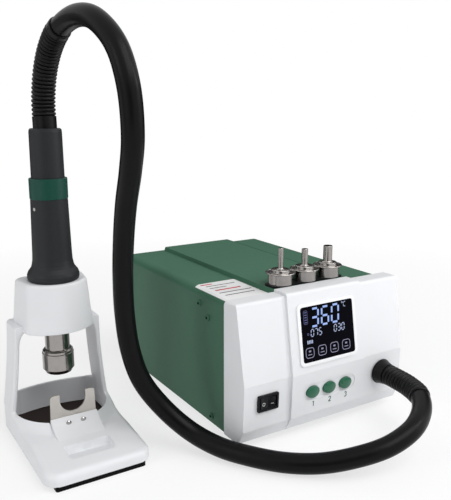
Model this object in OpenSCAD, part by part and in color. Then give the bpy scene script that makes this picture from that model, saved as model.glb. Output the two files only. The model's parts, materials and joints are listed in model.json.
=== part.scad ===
// Hot-air rework station. A mains unit blows air through a hose to a heated handle,
// the handle stands upright in its own stand, and three spare nozzles sit on a rack.
// Millimetres. Z is up and the part stands on z = 0. X runs across the front, Y to the back.
// Inside the modules x = 0 is the middle of the station and y = 0 the rear edge of its bezel.

/* [Station case] */
// Width of the cover
case_w = 177; // [172:1:182]
// Length of the cover behind the bezel
case_len = 214; // [205:1:240]
// Height of the cover
case_h = 123.5; // [118:0.5:130]
// Bend radius of the cover's long edges
case_bend = 7; // [4:0.5:10]
// Thickness of the sheet metal
sheet_t = 1.2; // [0.8:0.1:1.5]
// Height of the raised panel on the cover
plateau_rise = 4; // [3:0.5:5]
// Height of the station's feet
foot_h = 6; // [4:0.5:10]
// Radius of the station's feet
foot_r = 8; // [6:0.5:10]
// Distance of the feet from the cover's sides and ends
foot_inset = 20; // [16:1:30]
// Depth of the rear panel inside the cover's rear edge
panel_inset = 4; // [3.5:0.5:6]

/* [Front bezel] */
// Overhang of the bezel at each side of the cover
bezel_side = 5.5; // [4.5:0.5:7]
// Overhang of the bezel above the cover
bezel_over = 2.5; // [2.5:0.1:3.5]
// Wall of the bezel moulding
bezel_wall = 2.3; // [2:0.1:2.4]
// Depth of the bezel at the crease across its face
bezel_depth = 27.8; // [26:0.2:30]
// Depth of the bezel at its top edge
top_depth = 16.4; // [15:0.2:18]
// Depth of the bezel at the toe, just above the bottom bevel
toe_depth = 26.3; // [24.5:0.1:27]
// Depth of the bezel at its bottom edge
base_depth = 20; // [18:0.5:22]
// Height of the crease above the bezel's bottom edge
crease_rise = 54.3; // [52:0.1:58]
// Height of the toe above the bezel's bottom edge
toe_rise = 13; // [10:0.5:15]
// Width of the centre band, which is also that of the raised panel
band_w = 84; // [80:1:90]
// How far the centre band stands proud
band_proud = 2.3; // [1.5:0.1:2.5]

/* [Display and controls] */
// Width of the display frame
display_w = 66; // [60:0.5:70]
// Height of the display frame
display_h = 55.5; // [50:0.5:58]
// Distance from the crease to the display frame
display_rise = 6; // [4:0.5:8]
// Width of the frame's border
display_border = 3; // [2.5:0.1:4]
// How far the frame stands proud
display_proud = 1.2; // [1:0.1:2]
// Width of the oval buttons
button_w = 14.2; // [12:0.1:15]
// Height of the oval buttons
button_h = 10.7; // [10:0.1:12]
// Distance between the buttons
button_pitch = 19; // [17:0.5:20]
// Distance of the buttons below the crease
button_drop = 19; // [17:0.5:22]
// How far the buttons stand proud
button_proud = 2.5; // [2:0.1:3]
// Travel of the buttons
button_travel = 1.2; // [0.8:0.1:1.4]
// Width of the switch flange
switch_w = 21.5; // [21:0.1:23]
// Height of the switch flange
switch_h = 15; // [15:0.1:17]
// Distance of the switch from the middle
switch_x = 67; // [64:0.5:70]
// Distance of the switch below the crease
switch_drop = 17.8; // [15:0.1:20]
// Tilt of the rocker each way
rocker_tilt = 8; // [6:0.5:9]

/* [Hose] */
// Outer diameter of the hose
hose_d = 17; // [15:0.5:18]
// Distance of the hose port from the middle
port_x = 66; // [62:0.5:70]
// Distance of the hose port below the crease
port_drop = 18.8; // [16:0.1:20]
// Radius of the port boot's flange
boot_flange_r = 12.2; // [11.5:0.1:13]
// Radius over the ribs of both boots
boot_r = 9.9; // [9.6:0.1:10.5]
// Depth of the grooves between the ribs
rib_depth = 1.1; // [0.6:0.1:1.2]
// Number of ribs on the port boot
port_ribs = 13; // [10:1:14]
// Number of ribs on the handle boot
handle_ribs = 22; // [18:1:23]

/* [Nozzles] */
// Outer radius of the nozzle cups
cup_r = 11.35; // [11.2:0.05:11.4]
// Wall of the cups
cup_wall = 0.7; // [0.6:0.1:1]
// Height of the cups
cup_h = 9.5; // [8:0.5:11]
// Distance between the spare nozzles
nozzle_pitch = 27.5; // [27.5:0.5:30]
// Outer radii of the three outlet tubes
outlet_r = [2.35, 2.95, 4.25];
// Heights of the three nozzles
nozzle_h = [32.5, 28.5, 28.5];

/* [Stand] */
// Distance of the handle's axis left of the station's middle
stand_off = 206; // [190:1:230]
// Distance of the handle's axis behind the bezel's rear edge
stand_y = 104; // [90:1:120]
// Width of the stand
stand_w = 90; // [90:1:100]
// Reach of the stand in front of the handle's axis
stand_front = 101; // [95:1:110]
// Reach of the stand behind the handle's axis
stand_rear = 36; // [36:1:44]
// Thickness of the rubber strips under the stand
strip_h = 3; // [2:0.5:4]
// Height of the nose
nose_h = 14; // [12:0.5:16]
// Height of the ramp where it starts to sweep up
ramp_h = 18.5; // [17:0.5:20]
// Height of the sides at the legs
sweep_h = 40; // [38:0.5:44]
// Height of the wall behind the well
back_h = 33; // [31:0.5:36]
// Radius of the well
well_r = 42; // [38:0.5:42]
// Height of the well's floor
well_floor = 8; // [7:0.5:12]
// Height of the collar's top, which the handle rests on
collar_top = 143.5; // [135:0.5:155]
// Height of the collar
collar_h = 43; // [38:0.5:46]
// Thickness of the legs
leg_t = 4.2; // [4:0.1:5]
// Depth of the legs from front to back
leg_depth = 34; // [30:1:36]
// Width of the fork plate and of its seat
fork_w = 41.5; // [39:0.5:44]
// Width of the fork's notch
notch_w = 23; // [20:0.5:25]
// Height of the fork above its seat
fork_rise = 20.5; // [18:0.5:24]

/* [Handle] */
// Radius of the handle's flange
flange_r = 22.5; // [22:0.1:23]
// Radius of the grip at its lower end
grip_low_r = 16.9; // [16:0.1:18]
// Radius of the grip below the ring
grip_top_r = 15.75; // [15.5:0.05:16.5]
// Height of the grip from the flange to the ring
grip_h = 71.5; // [66:0.5:80]
// Height of the coloured ring
ring_h = 17.5; // [14:0.5:20]
// How far the ring stands proud
ring_proud = 0.4; // [0.2:0.1:1]
// Radius of the handle above the ring
neck_r = 14; // [13.5:0.1:14.5]
// Radius of the handle at its top
top_r = 13.6; // [13:0.1:14]
// Height of the handle above the ring
neck_h = 41.5; // [38:0.5:45]
// Wall of the handle's mouldings
grip_wall = 2.4; // [2:0.1:3]
// Outer radius of the heater tube
tube_r = 10.85; // [10.5:0.05:11]
// Wall of the heater tube
tube_wall = 0.8; // [0.6:0.1:1]
// Outer radius of the nozzle collar
nut_r = 13.95; // [13.5:0.05:14.5]
// Height of the nozzle collar
nut_h = 22; // [18:0.5:24]
// Distance from the handle's flange to the nozzle collar's lower end
tube_drop = 86; // [80:0.5:92]

/* [Hidden] */

// General clearances
fit_gap = 0.2;
loose_gap = 0.3;
run_gap = 0.05;
// How far cutting shapes run past the surface that they cut
over = 1;
$fn = 48;

// The case, worked out
case_z = foot_h;
case_top = case_z + case_h;
inner_w = case_w - 2 * sheet_t;
plateau_back = 2;
plateau_len = case_len - plateau_back - fit_gap;
cover_lap = 6;
pan_w = inner_w - 2 * fit_gap;
pan_flange_h = 12;
panel_y = case_len - panel_inset;

// The bezel, worked out
bezel_w = case_w + 2 * bezel_side;
bezel_draft = 0.1;
bezel_z = case_z + 2;
bezel_top = case_top + bezel_over;
crease_z = bezel_z + crease_rise;
toe_z = bezel_z + toe_rise;
lean = atan2(bezel_depth - top_depth, bezel_top - crease_z);
tuck = atan2(toe_depth - bezel_depth, crease_z - toe_z);
edge_r = 3;
corner_r = 4;
crease_r = 1.2;
band_toe_lift = 1.5;

// The front-most point is the middle button's dome, a cap of a sphere
dome_rise = 1.4;
dome_r = (button_w * button_w / 4 + dome_rise * dome_rise) / (2 * dome_rise);
dome_out = band_proud + button_proud - dome_r;
front_y = -bezel_depth - button_drop * sin(tuck) - dome_out * cos(tuck) - dome_r;
stand_x = -stand_off;
origin_x = (stand_x - stand_w / 2 + bezel_w / 2) / 2;
origin_y = (front_y + case_len) / 2;

// The route of the hose's centre line, from the handle's top to the port on the bezel.
// The first part runs inside the handle's boot and the last inside the port's.
route = [
  [-206, 104, 274], [-206, 104, 297], [-205, 98, 320], [-203, 86, 339], [-200, 69, 352],
  [-196, 42, 358], [-192, 15, 353], [-187, -9, 334], [-184, -21, 306], [-181, -19, 273],
  [-178, -6, 246], [-175, 11, 219], [-172, 25, 190], [-170, 34, 158], [-168, 38, 124],
  [-165, 36, 92], [-157, 32, 63], [-142, 22, 38], [-125, 5, 19], [-110, -18, 10.5],
  [-95, -42, 9], [-77, -65, 9], [-56, -84, 11], [-34, -100, 17], [-9, -112, 25],
  [17, -113, 33], [40, -102, 38], [57, -85, 41], [64, -66, 42.2], [66, -47, 42.8],
  [66, -28.2, 43.4]
];
handle_boot_span = [0, 4];
port_boot_span = [27, 30];
join_gap = 0.003;
hose_span = [handle_boot_span[1] + join_gap, port_boot_span[0] - join_gap];
hose_sides = 12;

// Small functions
function unit(v) = v / norm(v);
function cross2(a, b) = a[0] * b[1] - a[1] * b[0];
function limit(v, low, high) = max(low, min(high, v));

// Moves each side of an anticlockwise outline inwards by d
function inset(pts, d) = [
  for (i = [0 : len(pts) - 1])
    let (b = pts[i], u = unit(pts[(i + len(pts) - 1) % len(pts)] - b),
         v = unit(pts[(i + 1) % len(pts)] - b))
      b + (u + v) * d / cross2(v, u)
];

// Replaces the corner b between a and c by an arc of radius r in n steps
function arc_corner(a, b, c, r, n) =
  let (u = unit(a - b), v = unit(c - b), half = acos(limit(u * v, -1, 1)) / 2,
       p = b + u * r / tan(half), q = b + v * r / tan(half),
       m = b + unit(u + v) * r / sin(half), turn = 180 - 2 * half)
    r <= 0 ? [b] : [
      for (k = [0 : n])
        m + (sin(turn * (1 - k / n)) * (p - m) + sin(turn * k / n) * (q - m)) / sin(turn)
    ];

function rounded(pts, radii, n = 6) = [
  for (i = [0 : len(pts) - 1])
    for (p = arc_corner(pts[(i + len(pts) - 1) % len(pts)], pts[i], pts[(i + 1) % len(pts)],
                        radii[i], n))
      p
];

function round_rect(w, h, r) =
  rounded([[-w / 2, -h / 2], [w / 2, -h / 2], [w / 2, h / 2], [-w / 2, h / 2]], [r, r, r, r]);

// A smooth curve through the route's points, at the place u counted in points
function route_at(u) =
  let (i = limit(floor(u), 0, len(route) - 2), t = u - i,
       b = route[i], c = route[i + 1],
       a = i > 0 ? route[i - 1] : 2 * b - c,
       d = i < len(route) - 2 ? route[i + 2] : 2 * c - b)
    0.5 * (2 * b + (c - a) * t + (2 * a - 5 * b + 4 * c - d) * t * t
      + (3 * b - a - 3 * c + d) * t * t * t);

function route_turn(u, step) = unit(route_at(u + step) - route_at(u - step));

// Carries a sideways direction along the line without twisting it
function carried(t, side, i = 0) =
  i == len(t) ? [] :
  let (s = unit(side - (side * t[i]) * t[i])) concat([s], carried(t, s, i + 1));

function ring(centre, t, s, r, sides) = [
  for (k = [0 : sides - 1])
    centre + r * (cos(360 * k / sides) * s + sin(360 * k / sides) * cross(t, s))
];

// Rings of the given radii around a stretch of the route, evenly spaced along it
function tube_rings(span, radii, sides) =
  let (steps = len(radii) - 1, run = span[1] - span[0],
       u = [for (k = [0 : steps]) span[0] + run * k / steps],
       t = [for (v = u) route_turn(v, 0.01 * sign(run))],
       s = carried(t, [1, 0.2, 0.1]))
    [for (i = [0 : steps]) ring(route_at(u[i]), t[i], s[i], radii[i], sides)];

// A closed skin over rings of equally many points
module skin(rings) {
  n = len(rings[0]);
  last = (len(rings) - 1) * n;
  points = [for (r = rings) for (p = r) p];
  sides = [
    for (i = [0 : len(rings) - 2])
      for (k = [0 : n - 1])
        for (f = [[i * n + k, i * n + n + k, i * n + (k + 1) % n],
                  [i * n + (k + 1) % n, i * n + n + k, i * n + n + (k + 1) % n]])
          f
  ];
  caps = [[for (k = [0 : n - 1]) k], [for (k = [n - 1 : -1 : 0]) last + k]];
  polyhedron(points = points, faces = concat(sides, caps), convexity = 6);
}

// Puts the station's own coordinates into the part's frame
module placed() {
  translate([-origin_x, -origin_y, 0]) children();
}

// Carries a drawing in Y and Z along X, centred
module along_x(length) {
  rotate([90, 0, 90]) linear_extrude(length, center = true) children();
}

// Carries a drawing in X and Z along Y, from y1 to y2
module along_y(y1, y2) {
  translate([0, y2, 0]) rotate([90, 0, 0]) linear_extrude(y2 - y1) children();
}

// The sloping upper face: x across, y up the slope from the crease, z outwards
module on_upper_face(x, up, out) {
  translate([0, -bezel_depth, crease_z]) rotate([90 - lean, 0, 0]) translate([x, up, out])
    children();
}

// The lower face: x across, y up, z outwards, measured down from the crease
module on_lower_face(x, drop, out) {
  translate([0, -bezel_depth, crease_z]) rotate([90 - tuck, 0, 0]) translate([x, -drop, out])
    children();
}

module pan_screw(head_r, head_h, shank_r, shank_l) {
  rotate_extrude() polygon(concat(
    [[0, -shank_l], [shank_r, -shank_l], [shank_r, 0], [head_r, 0], [head_r, head_h * 0.45]],
    [[head_r * 0.62, head_h * 0.92], [0, head_h]]
  ));
}

// Station case

module cover_section(d, rise) {
  w = case_w / 2 - d;
  top = case_top - d;
  b = band_w / 2 - d;
  r = case_bend - d;
  slope = 1.5;
  outline = rise > 0
    ? [[-w, case_z - (d > 0 ? over : 0)], [w, case_z - (d > 0 ? over : 0)], [w, top],
       [b + slope, top], [b, top + rise], [-b, top + rise], [-b - slope, top], [-w, top]]
    : [[-w, case_z - (d > 0 ? over : 0)], [w, case_z - (d > 0 ? over : 0)], [w, top], [-w, top]];
  radii = rise > 0 ? [0, 0, r, 0, 0.8, 0.8, 0, r] : [0, 0, r, r];
  polygon(rounded(outline, radii));
}

module top_cover() {
  color("#3c6350") placed() difference() {
    union() {
      along_y(-cover_lap, case_len) cover_section(0, 0);
      along_y(fit_gap, plateau_len) cover_section(0, plateau_rise);
    }
    along_y(-cover_lap - over, case_len + over) cover_section(sheet_t, 0);
    along_y(fit_gap + sheet_t, plateau_len - sheet_t) cover_section(sheet_t, plateau_rise);
    side_screw_places() cylinder(h = 3 * sheet_t, r = screw_r + run_gap, center = true);
    rack_screw_places() cylinder(h = 4 * rack_t, r = screw_r + run_gap, center = true);
  }
}

screw_r = 1.5;
screw_head_r = 2.9;
screw_head_h = 1.8;
screw_l = 4;
pan_screw_z = case_z + 6.9;
pan_screw_y = 30;

// The upper screws of each side, as distances behind the bezel and below the cover's top
high_screws = [[51, 13.5], [36, 23.5]];

// Each cover screw's outer face, with z outwards
module side_screw_places() {
  for (side = [-1, 1], y = [pan_screw_y, case_len - pan_screw_y])
    translate([side * case_w / 2, y, pan_screw_z]) rotate([0, side * 90, 0]) children();
  for (side = [-1, 1], p = high_screws)
    translate([side * case_w / 2, p[0], case_top - p[1]]) rotate([0, side * 90, 0]) children();
}

module cover_screws() {
  color("#c9ccd0") placed() {
    side_screw_places() pan_screw(screw_head_r, screw_head_h, screw_r, screw_l);
    rack_screw_places() translate([0, 0, rack_t])
      pan_screw(screw_head_r, screw_head_h, screw_r, screw_l);
  }
}

module base_pan() {
  y1 = -cover_lap;
  y2 = case_len - over;
  color("#9aa0a3") placed() difference() {
    union() {
      translate([-pan_w / 2, y1, case_z]) cube([pan_w, y2 - y1, sheet_t]);
      for (side = [-1, 1])
        translate([side * (pan_w - sheet_t) / 2 - sheet_t / 2, y1, case_z])
          cube([sheet_t, y2 - y1, pan_flange_h]);
      board_posts(case_z, board_z, post_r);
    }
    for (side = [-1, 1], y = [pan_screw_y, case_len - pan_screw_y])
      translate([side * pan_w / 2, y, pan_screw_z]) rotate([0, 90, 0])
        cylinder(h = 4 * sheet_t, r = screw_r + run_gap, center = true);
    for (k = [-5 : 5])
      translate([k * vent_pitch - vent_w / 2, vent_y, case_z - over])
        cube([vent_w, vent_len, sheet_t + 2 * over]);
  }
}

// Slots in the pan, in front of the board
vent_y = 18;
vent_len = 24;
vent_w = 3;
vent_pitch = 12;

module rubber_feet() {
  color("#1b1c1d") placed()
    for (side = [-1, 1], y = [foot_inset, case_len - foot_inset])
      translate([side * (case_w / 2 - foot_inset), y, 0])
        cylinder(h = foot_h, r1 = foot_r - 0.8, r2 = foot_r);
}

panel_w = pan_w - 2 * sheet_t - 2 * fit_gap;
panel_z1 = case_z + sheet_t;
panel_z2 = case_top - sheet_t - fit_gap;
panel_screw_in = 9;
panel_screw_low = 8;
panel_screw_high = 12;
louvre_w = 3.2;
louvre_h = 28;
louvre_pitch = 7;
louvre_row = 36;
louvre_count = 9;
inlet_w = 27.4;
inlet_h = 47;
inlet_d = 24;
inlet_rim = 2;
inlet_gap = 6.1;
inlet_x = -panel_w / 2 + panel_screw_in + screw_head_r + inlet_gap + inlet_rim + inlet_w / 2;
inlet_z = 34;

module panel_corners() {
  for (x = [-1, 1] * (panel_w / 2 - panel_screw_in),
       z = [panel_z1 + panel_screw_low, panel_z2 - panel_screw_high])
    translate([x, 0, z]) rotate([-90, 0, 0]) children();
}

module rear_panel() {
  color("#30574a") placed() translate([0, panel_y, 0]) difference() {
    along_y(-sheet_t, 0) polygon(rounded(
      [[-panel_w / 2, panel_z1], [panel_w / 2, panel_z1], [panel_w / 2, panel_z2],
       [-panel_w / 2, panel_z2]], [0, 0, case_bend, case_bend]));
    translate([inlet_x, 0, inlet_z])
      cube([inlet_w + 2 * run_gap, 4 * sheet_t, inlet_h + 2 * run_gap], center = true);
    panel_corners() cylinder(h = 4 * sheet_t, r = screw_r + run_gap, center = true);
    for (row = [0, 1], k = [1 : louvre_count])
      translate([panel_w / 2 - panel_screw_in - k * louvre_pitch - louvre_w / 2, -2 * sheet_t,
                 panel_z2 - louvre_row - row * louvre_row - panel_screw_high])
        cube([louvre_w, 4 * sheet_t, louvre_h]);
  }
}

module panel_screws() {
  color("#c9ccd0") placed() translate([0, panel_y, 0])
    panel_corners() pan_screw(screw_head_r, screw_head_h, screw_r, screw_l);
}

module mains_inlet() {
  rim_t = 2.5;
  socket_w = 24.6;
  socket_high = 16.6;
  chamfer = 5;
  floor_t = 5;
  border = 3;
  drop = -inlet_h / 2 + socket_high / 2 + border;
  drawer_w = 22;
  drawer_h = 15;
  drawer_groove = 0.7;
  pin_w = 2;
  pin_h = 4;
  pin_l = 15;
  pins = [[-7, -1.5], [7, -1.5], [0, 2.5]];
  color("#17181a") placed() translate([inlet_x, panel_y, inlet_z]) {
    difference() {
      union() {
        along_y(0, rim_t)
          polygon(round_rect(inlet_w + 2 * inlet_rim, inlet_h + 2 * inlet_rim, border));
        along_y(-inlet_d, 0) polygon(round_rect(inlet_w, inlet_h, 1));
      }
      translate([0, 0, drop]) along_y(-inlet_d + floor_t, rim_t + over) polygon(rounded(
        [[-socket_w / 2, -socket_high / 2], [socket_w / 2, -socket_high / 2],
         [socket_w / 2, socket_high / 2 - chamfer], [socket_w / 2 - chamfer, socket_high / 2],
         [-socket_w / 2 + chamfer, socket_high / 2], [-socket_w / 2, socket_high / 2 - chamfer]],
        [1, 1, 0, 0, 0, 0]));
      translate([0, 0, inlet_h / 2 - border - drawer_h / 2])
        along_y(rim_t - drawer_groove, rim_t + over) difference() {
          polygon(round_rect(drawer_w, drawer_h, 1));
          polygon(round_rect(drawer_w - 2 * drawer_groove, drawer_h - 2 * drawer_groove, 0.6));
        }
    }
    for (p = pins)
      translate([p[0] - pin_w / 2, -inlet_d + floor_t, drop + p[1] - pin_h / 2])
        cube([pin_w, pin_l, pin_h]);
  }
}

// Front bezel

// Side view of the bezel, from its rear lower corner round to its bottom front edge
function bezel_profile(back) = [
  [back, bezel_z], [back, bezel_top], [-top_depth, bezel_top], [-bezel_depth, crease_z],
  [-toe_depth, toe_z], [-base_depth, bezel_z]
];

// The band stands proud down to its toe and runs out at the bottom edge
function band_profile(back) =
  let (p = inset(bezel_profile(back), -band_proud),
       t = (toe_z + band_toe_lift - p[3][1]) / (p[4][1] - p[3][1]))
    [[back, bezel_z], [back, p[2][1]], p[2], p[3], p[3] + t * (p[4] - p[3]), [-base_depth, bezel_z]];

function rounded_profile(pts, d) = rounded(inset(pts, d), [0, 0, edge_r, crease_r, edge_r, edge_r]);

module bezel_form(d, back) {
  depth = 2 * bezel_depth;
  w_back = bezel_w / 2 + bezel_draft * (back + d);
  w_front = bezel_w / 2 - bezel_draft * depth;
  intersection() {
    along_x(2 * bezel_w) polygon(rounded_profile(bezel_profile(back + d), d));
    linear_extrude(2 * bezel_top) polygon(rounded(
      inset([[-w_back, back + d], [-w_front, -depth], [w_front, -depth], [w_back, back + d]], d),
      [0, 0, 0, 0]));
    along_y(-depth, back + d) polygon(rounded(
      inset([[-w_back, bezel_z], [w_back, bezel_z], [w_back, bezel_top], [-w_back, bezel_top]], d),
      [edge_r, edge_r, corner_r, corner_r]));
  }
}

module band_form(d, back) {
  along_x(band_w - 2 * d) polygon(rounded_profile(band_profile(back + d), d));
}

skirt_t = 1.2;
glass_w = display_w - 2 * display_border;
glass_h = display_h - 2 * display_border;
glass_t = 1.6;
glass_sink = 0.3;
display_up = display_rise + display_h / 2;
frame_top = band_proud + display_proud;
frame_low = -2.2;
body_w = 19.6;
body_h = 13.4;
pill_w = 62;
pill_h = 15;
pill_t = 0.5;
neck_hole_r = 8.6;

module front_bezel() {
  color("#e6e7e8") placed() difference() {
    union() {
      bezel_form(0, 0);
      band_form(0, 0);
    }
    bezel_form(bezel_wall, over);
    band_form(bezel_wall, over);
    translate([-case_w / 2 - fit_gap, -cover_lap - fit_gap, 0])
      cube([case_w + 2 * fit_gap, 2 * cover_lap, bezel_z + 2 * bezel_wall]);
    on_upper_face(0, display_up, -2 * bezel_wall) linear_extrude(4 * bezel_wall)
      polygon(round_rect(glass_w + 2 * (skirt_t + fit_gap), glass_h + 2 * (skirt_t + fit_gap), 3));
    on_lower_face(0, button_drop, band_proud - pill_t) linear_extrude(4 * pill_t)
      polygon(round_rect(pill_w, pill_h, pill_h / 2 - 0.1));
    button_places(-2 * bezel_wall) linear_extrude(5 * bezel_wall) polygon(oval(loose_gap));
    on_lower_face(-switch_x, switch_drop, 0)
      cube([body_w + 2 * fit_gap, body_h + 2 * fit_gap, 4 * bezel_wall], center = true);
    on_lower_face(port_x, port_drop, 0) cylinder(h = 4 * bezel_wall, r = neck_hole_r, center = true);
  }
}

// Outline of a button, grown by d
function oval(d) = [
  for (a = [0 : 10 : 350]) [(button_w / 2 + d) * cos(a), (button_h / 2 + d) * sin(a)]
];

module button_places(out) {
  for (i = [-1 : 1]) on_lower_face(i * button_pitch, button_drop, out) children();
}

module display_frame() {
  color("#f4f5f6") placed() on_upper_face(0, display_up, 0) difference() {
    union() {
      translate([0, 0, band_proud]) linear_extrude(display_proud)
        polygon(round_rect(display_w, display_h, 4));
      translate([0, 0, frame_low]) linear_extrude(band_proud - frame_low)
        polygon(round_rect(glass_w + 2 * skirt_t, glass_h + 2 * skirt_t, 3));
    }
    translate([0, 0, frame_top - glass_sink - glass_t]) linear_extrude(2 * glass_t + over)
      polygon(round_rect(glass_w + 2 * run_gap, glass_h + 2 * run_gap, 2.5));
    translate([0, 0, frame_low - over]) linear_extrude(2 * glass_t + frame_top)
      polygon(round_rect(glass_w - 4, glass_h - 4, 1.5));
  }
}

module display_glass() {
  color("#101216") placed() on_upper_face(0, display_up, frame_top - glass_sink - glass_t)
    linear_extrude(glass_t) polygon(round_rect(glass_w, glass_h, 2.4));
}

module display_module() {
  lcd_t = 2.5;
  color("#2d6b46") placed() on_upper_face(0, display_up, 0) {
    translate([0, 0, frame_low]) linear_extrude(lcd_t) polygon(round_rect(glass_w - 5, glass_h - 5, 1));
    translate([0, 0, frame_low - board_t]) linear_extrude(board_t)
      polygon(round_rect(glass_w + 2 * skirt_t, glass_h + 2 * skirt_t, 1));
  }
}

flange_t = 1.2;
stem_r = 1.7;
tact_top = -4.6;
tact_h = 3.5;
stem_tip = tact_top - 0.6;

module button(i) {
  dome_low = -fit_gap - flange_t;
  color("#2f6e52") placed() on_lower_face(i * button_pitch, button_drop, 0) union() {
    translate([0, 0, stem_tip]) cylinder(h = dome_low - stem_tip + over / 2, r = stem_r);
    translate([0, 0, dome_low]) linear_extrude(flange_t) polygon(oval(flange_t));
    intersection() {
      translate([0, 0, dome_low]) linear_extrude(2 * dome_r) polygon(oval(0));
      translate([0, 0, dome_out]) sphere(r = dome_r, $fn = 96);
    }
  }
}

module tact_switches() {
  color("#3a3d40") placed() button_places(tact_top - tact_h) difference() {
    linear_extrude(tact_h) square([6, 6], center = true);
    translate([0, 0, tact_h - button_travel - 0.9]) cylinder(h = tact_h, r = stem_r + run_gap);
  }
}

module control_board() {
  color("#2d6b46") placed() on_lower_face(0, button_drop, tact_top - tact_h - board_t)
    linear_extrude(board_t) polygon(round_rect(band_w - 10, 26, 2));
}

paddle_r = 8.6;
pivot_out = -2.5;
pin_r = 1.4;
paddle_h = 10.6;
pocket_h = 11;

module switch_housing() {
  lip = 2;
  body_d = 14;
  color("#141516") placed() on_lower_face(-switch_x, switch_drop, 0) difference() {
    union() {
      linear_extrude(lip) polygon(round_rect(switch_w, switch_h, 1.2));
      translate([0, 0, -body_d]) linear_extrude(body_d) square([body_w, body_h], center = true);
      for (x = [-1, 1] * 5) translate([x - 2.4, -0.4, -body_d - 7]) cube([4.8, 0.8, 8]);
    }
    translate([0, 0, -body_d + 2]) linear_extrude(2 * body_d)
      square([2 * paddle_r + 2 * loose_gap, pocket_h], center = true);
    translate([0, 0, pivot_out]) rotate([90, 0, 0])
      cylinder(h = pocket_h + 1.4, r = pin_r + run_gap, center = true);
  }
}

module switch_rocker() {
  color("#1c1d1f") placed() on_lower_face(-switch_x, switch_drop, pivot_out) rotate([90, 0, 0]) {
    linear_extrude(paddle_h, center = true) rotate(rocker_tilt) intersection() {
      circle(r = paddle_r);
      polygon([[-9, -5], [9, -5], [9, 5.6], [4, 4.5], [0, 4.1], [-4, 4.5], [-9, 5.6]]);
    }
    cylinder(h = pocket_h + 1, r = pin_r, center = true);
  }
}

// Inside the station

board_t = 1.6;
board_z = case_z + 8;
board_top = board_z + board_t;
board_w = 66;
board_l = 138;
board_side_gap = 4.3;
board_back_gap = 2;
board_x = -inner_w / 2 + board_side_gap + board_w / 2;
board_y = panel_y - inlet_d - board_back_gap - board_l / 2;
post_r = 3;
post_in = 5;

module board_posts(z1, z2, r) {
  for (x = [-1, 1] * (board_w / 2 - post_in), y = [-1, 1] * (board_l / 2 - post_in))
    translate([board_x + x, board_y + y, z1]) cylinder(h = z2 - z1, r = r);
}

// Round parts on the power board: place in X and Y, radius and height
capacitors = [[-22, 48, 9, 30], [-2, 48, 9, 30], [20, 40, 5, 14], [-26, -8, 5, 12]];
terminal_place = [12, -67];
terminal_size = [20, 20, 16];

module power_board() {
  color("#2d6b46") placed() {
    translate([board_x, board_y, board_z]) linear_extrude(board_t)
      polygon(round_rect(board_w, board_l, 2));
    for (p = capacitors)
      translate([board_x + p[0], board_y + p[1], board_top]) cylinder(h = p[3], r = p[2]);
    translate([board_x + terminal_place[0], board_y + terminal_place[1], board_top])
      cube(terminal_size);
  }
}

core_size = [42, 20, 36];
coil_size = [28, 36, 24];
transformer_place = [-8, -34];

module transformer() {
  color("#8d6d3b") placed()
    translate([board_x + transformer_place[0], board_y + transformer_place[1],
               board_top + core_size[2] / 2])
      union() {
        cube(core_size, center = true);
        cube(coil_size, center = true);
      }
}

sink_w = 40;
sink_h = 32;
sink_back_t = 4;
fin_t = 1.5;
fin_l = 16;
fin_count = 7;

module heat_sink() {
  color("#b9bdc2") placed() translate([board_x - sink_w / 2, board_y, board_top]) {
    cube([sink_w, sink_back_t, sink_h]);
    for (k = [0 : fin_count - 1])
      translate([k * (sink_w - fin_t) / (fin_count - 1), sink_back_t - fit_gap, 0])
        cube([fin_t, fin_l, sink_h]);
  }
}

// The blower's outlet points at the port, beside the housing's middle
outlet_off = 38;
blower_back_gap = 29;
blower_r = 46;
blower_x = port_x - outlet_off;
blower_y = panel_y - blower_back_gap - blower_r;
blower_h = 40;
blower_wall = 2;
duct_r = 9;
duct_wall = 1.5;
outlet_len = 34;
port_z = crease_z - port_drop * cos(tuck);
blower_z = port_z - blower_h / 2;
motor_r = 15;
motor_h = 15;
shaft_r = 3;

module blower_housing() {
  color("#3a3d40") placed() translate([blower_x, blower_y, blower_z]) difference() {
    union() {
      cylinder(h = blower_h, r = blower_r);
      translate([outlet_off, 0, blower_h / 2]) rotate([90, 0, 0])
        cylinder(h = blower_r + outlet_len, r = duct_r + 3);
      for (a = [30, 150, 270]) rotate(a)
        translate([blower_r - 5, 0, sheet_t + case_z - blower_z])
          cylinder(h = blower_z - case_z - sheet_t + 2, r = 4);
    }
    translate([0, 0, blower_wall]) cylinder(h = blower_h - 2 * blower_wall, r = blower_r - blower_wall);
    translate([outlet_off, 10, blower_h / 2]) rotate([90, 0, 0])
      cylinder(h = 2 * blower_r + outlet_len, r = duct_r);
    translate([0, 0, blower_h / 2]) cylinder(h = blower_h, r = 18);
    translate([0, 0, -over]) cylinder(h = blower_wall + 2 * over, r = 8);
  }
}

module blower_impeller() {
  disc_r = 36;
  blade_h = 22;
  color("#d8dadc") placed() translate([blower_x, blower_y, blower_z + blower_wall + 4])
    difference() {
      union() {
        cylinder(h = 2, r = disc_r);
        cylinder(h = 16, r = 8);
        for (k = [0 : 11]) rotate(k * 30) translate([16, 0, 0]) rotate(25)
          translate([0, -0.6, 0]) cube([19, 1.2, blade_h]);
      }
      translate([0, 0, -over]) cylinder(h = 14 + over, r = shaft_r);
    }
}

module impeller_shaft() {
  color("#c9ccd0") placed()
    translate([blower_x, blower_y, blower_z - motor_h + 3])
      cylinder(h = motor_h - 3 + blower_wall + 4 + 14, r = shaft_r);
}

module blower_motor() {
  color("#777c80") placed() translate([blower_x, blower_y, blower_z - motor_h]) difference() {
    cylinder(h = motor_h, r = motor_r);
    translate([0, 0, 3 - fit_gap]) cylinder(h = motor_h, r = shaft_r + run_gap);
  }
}

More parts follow.
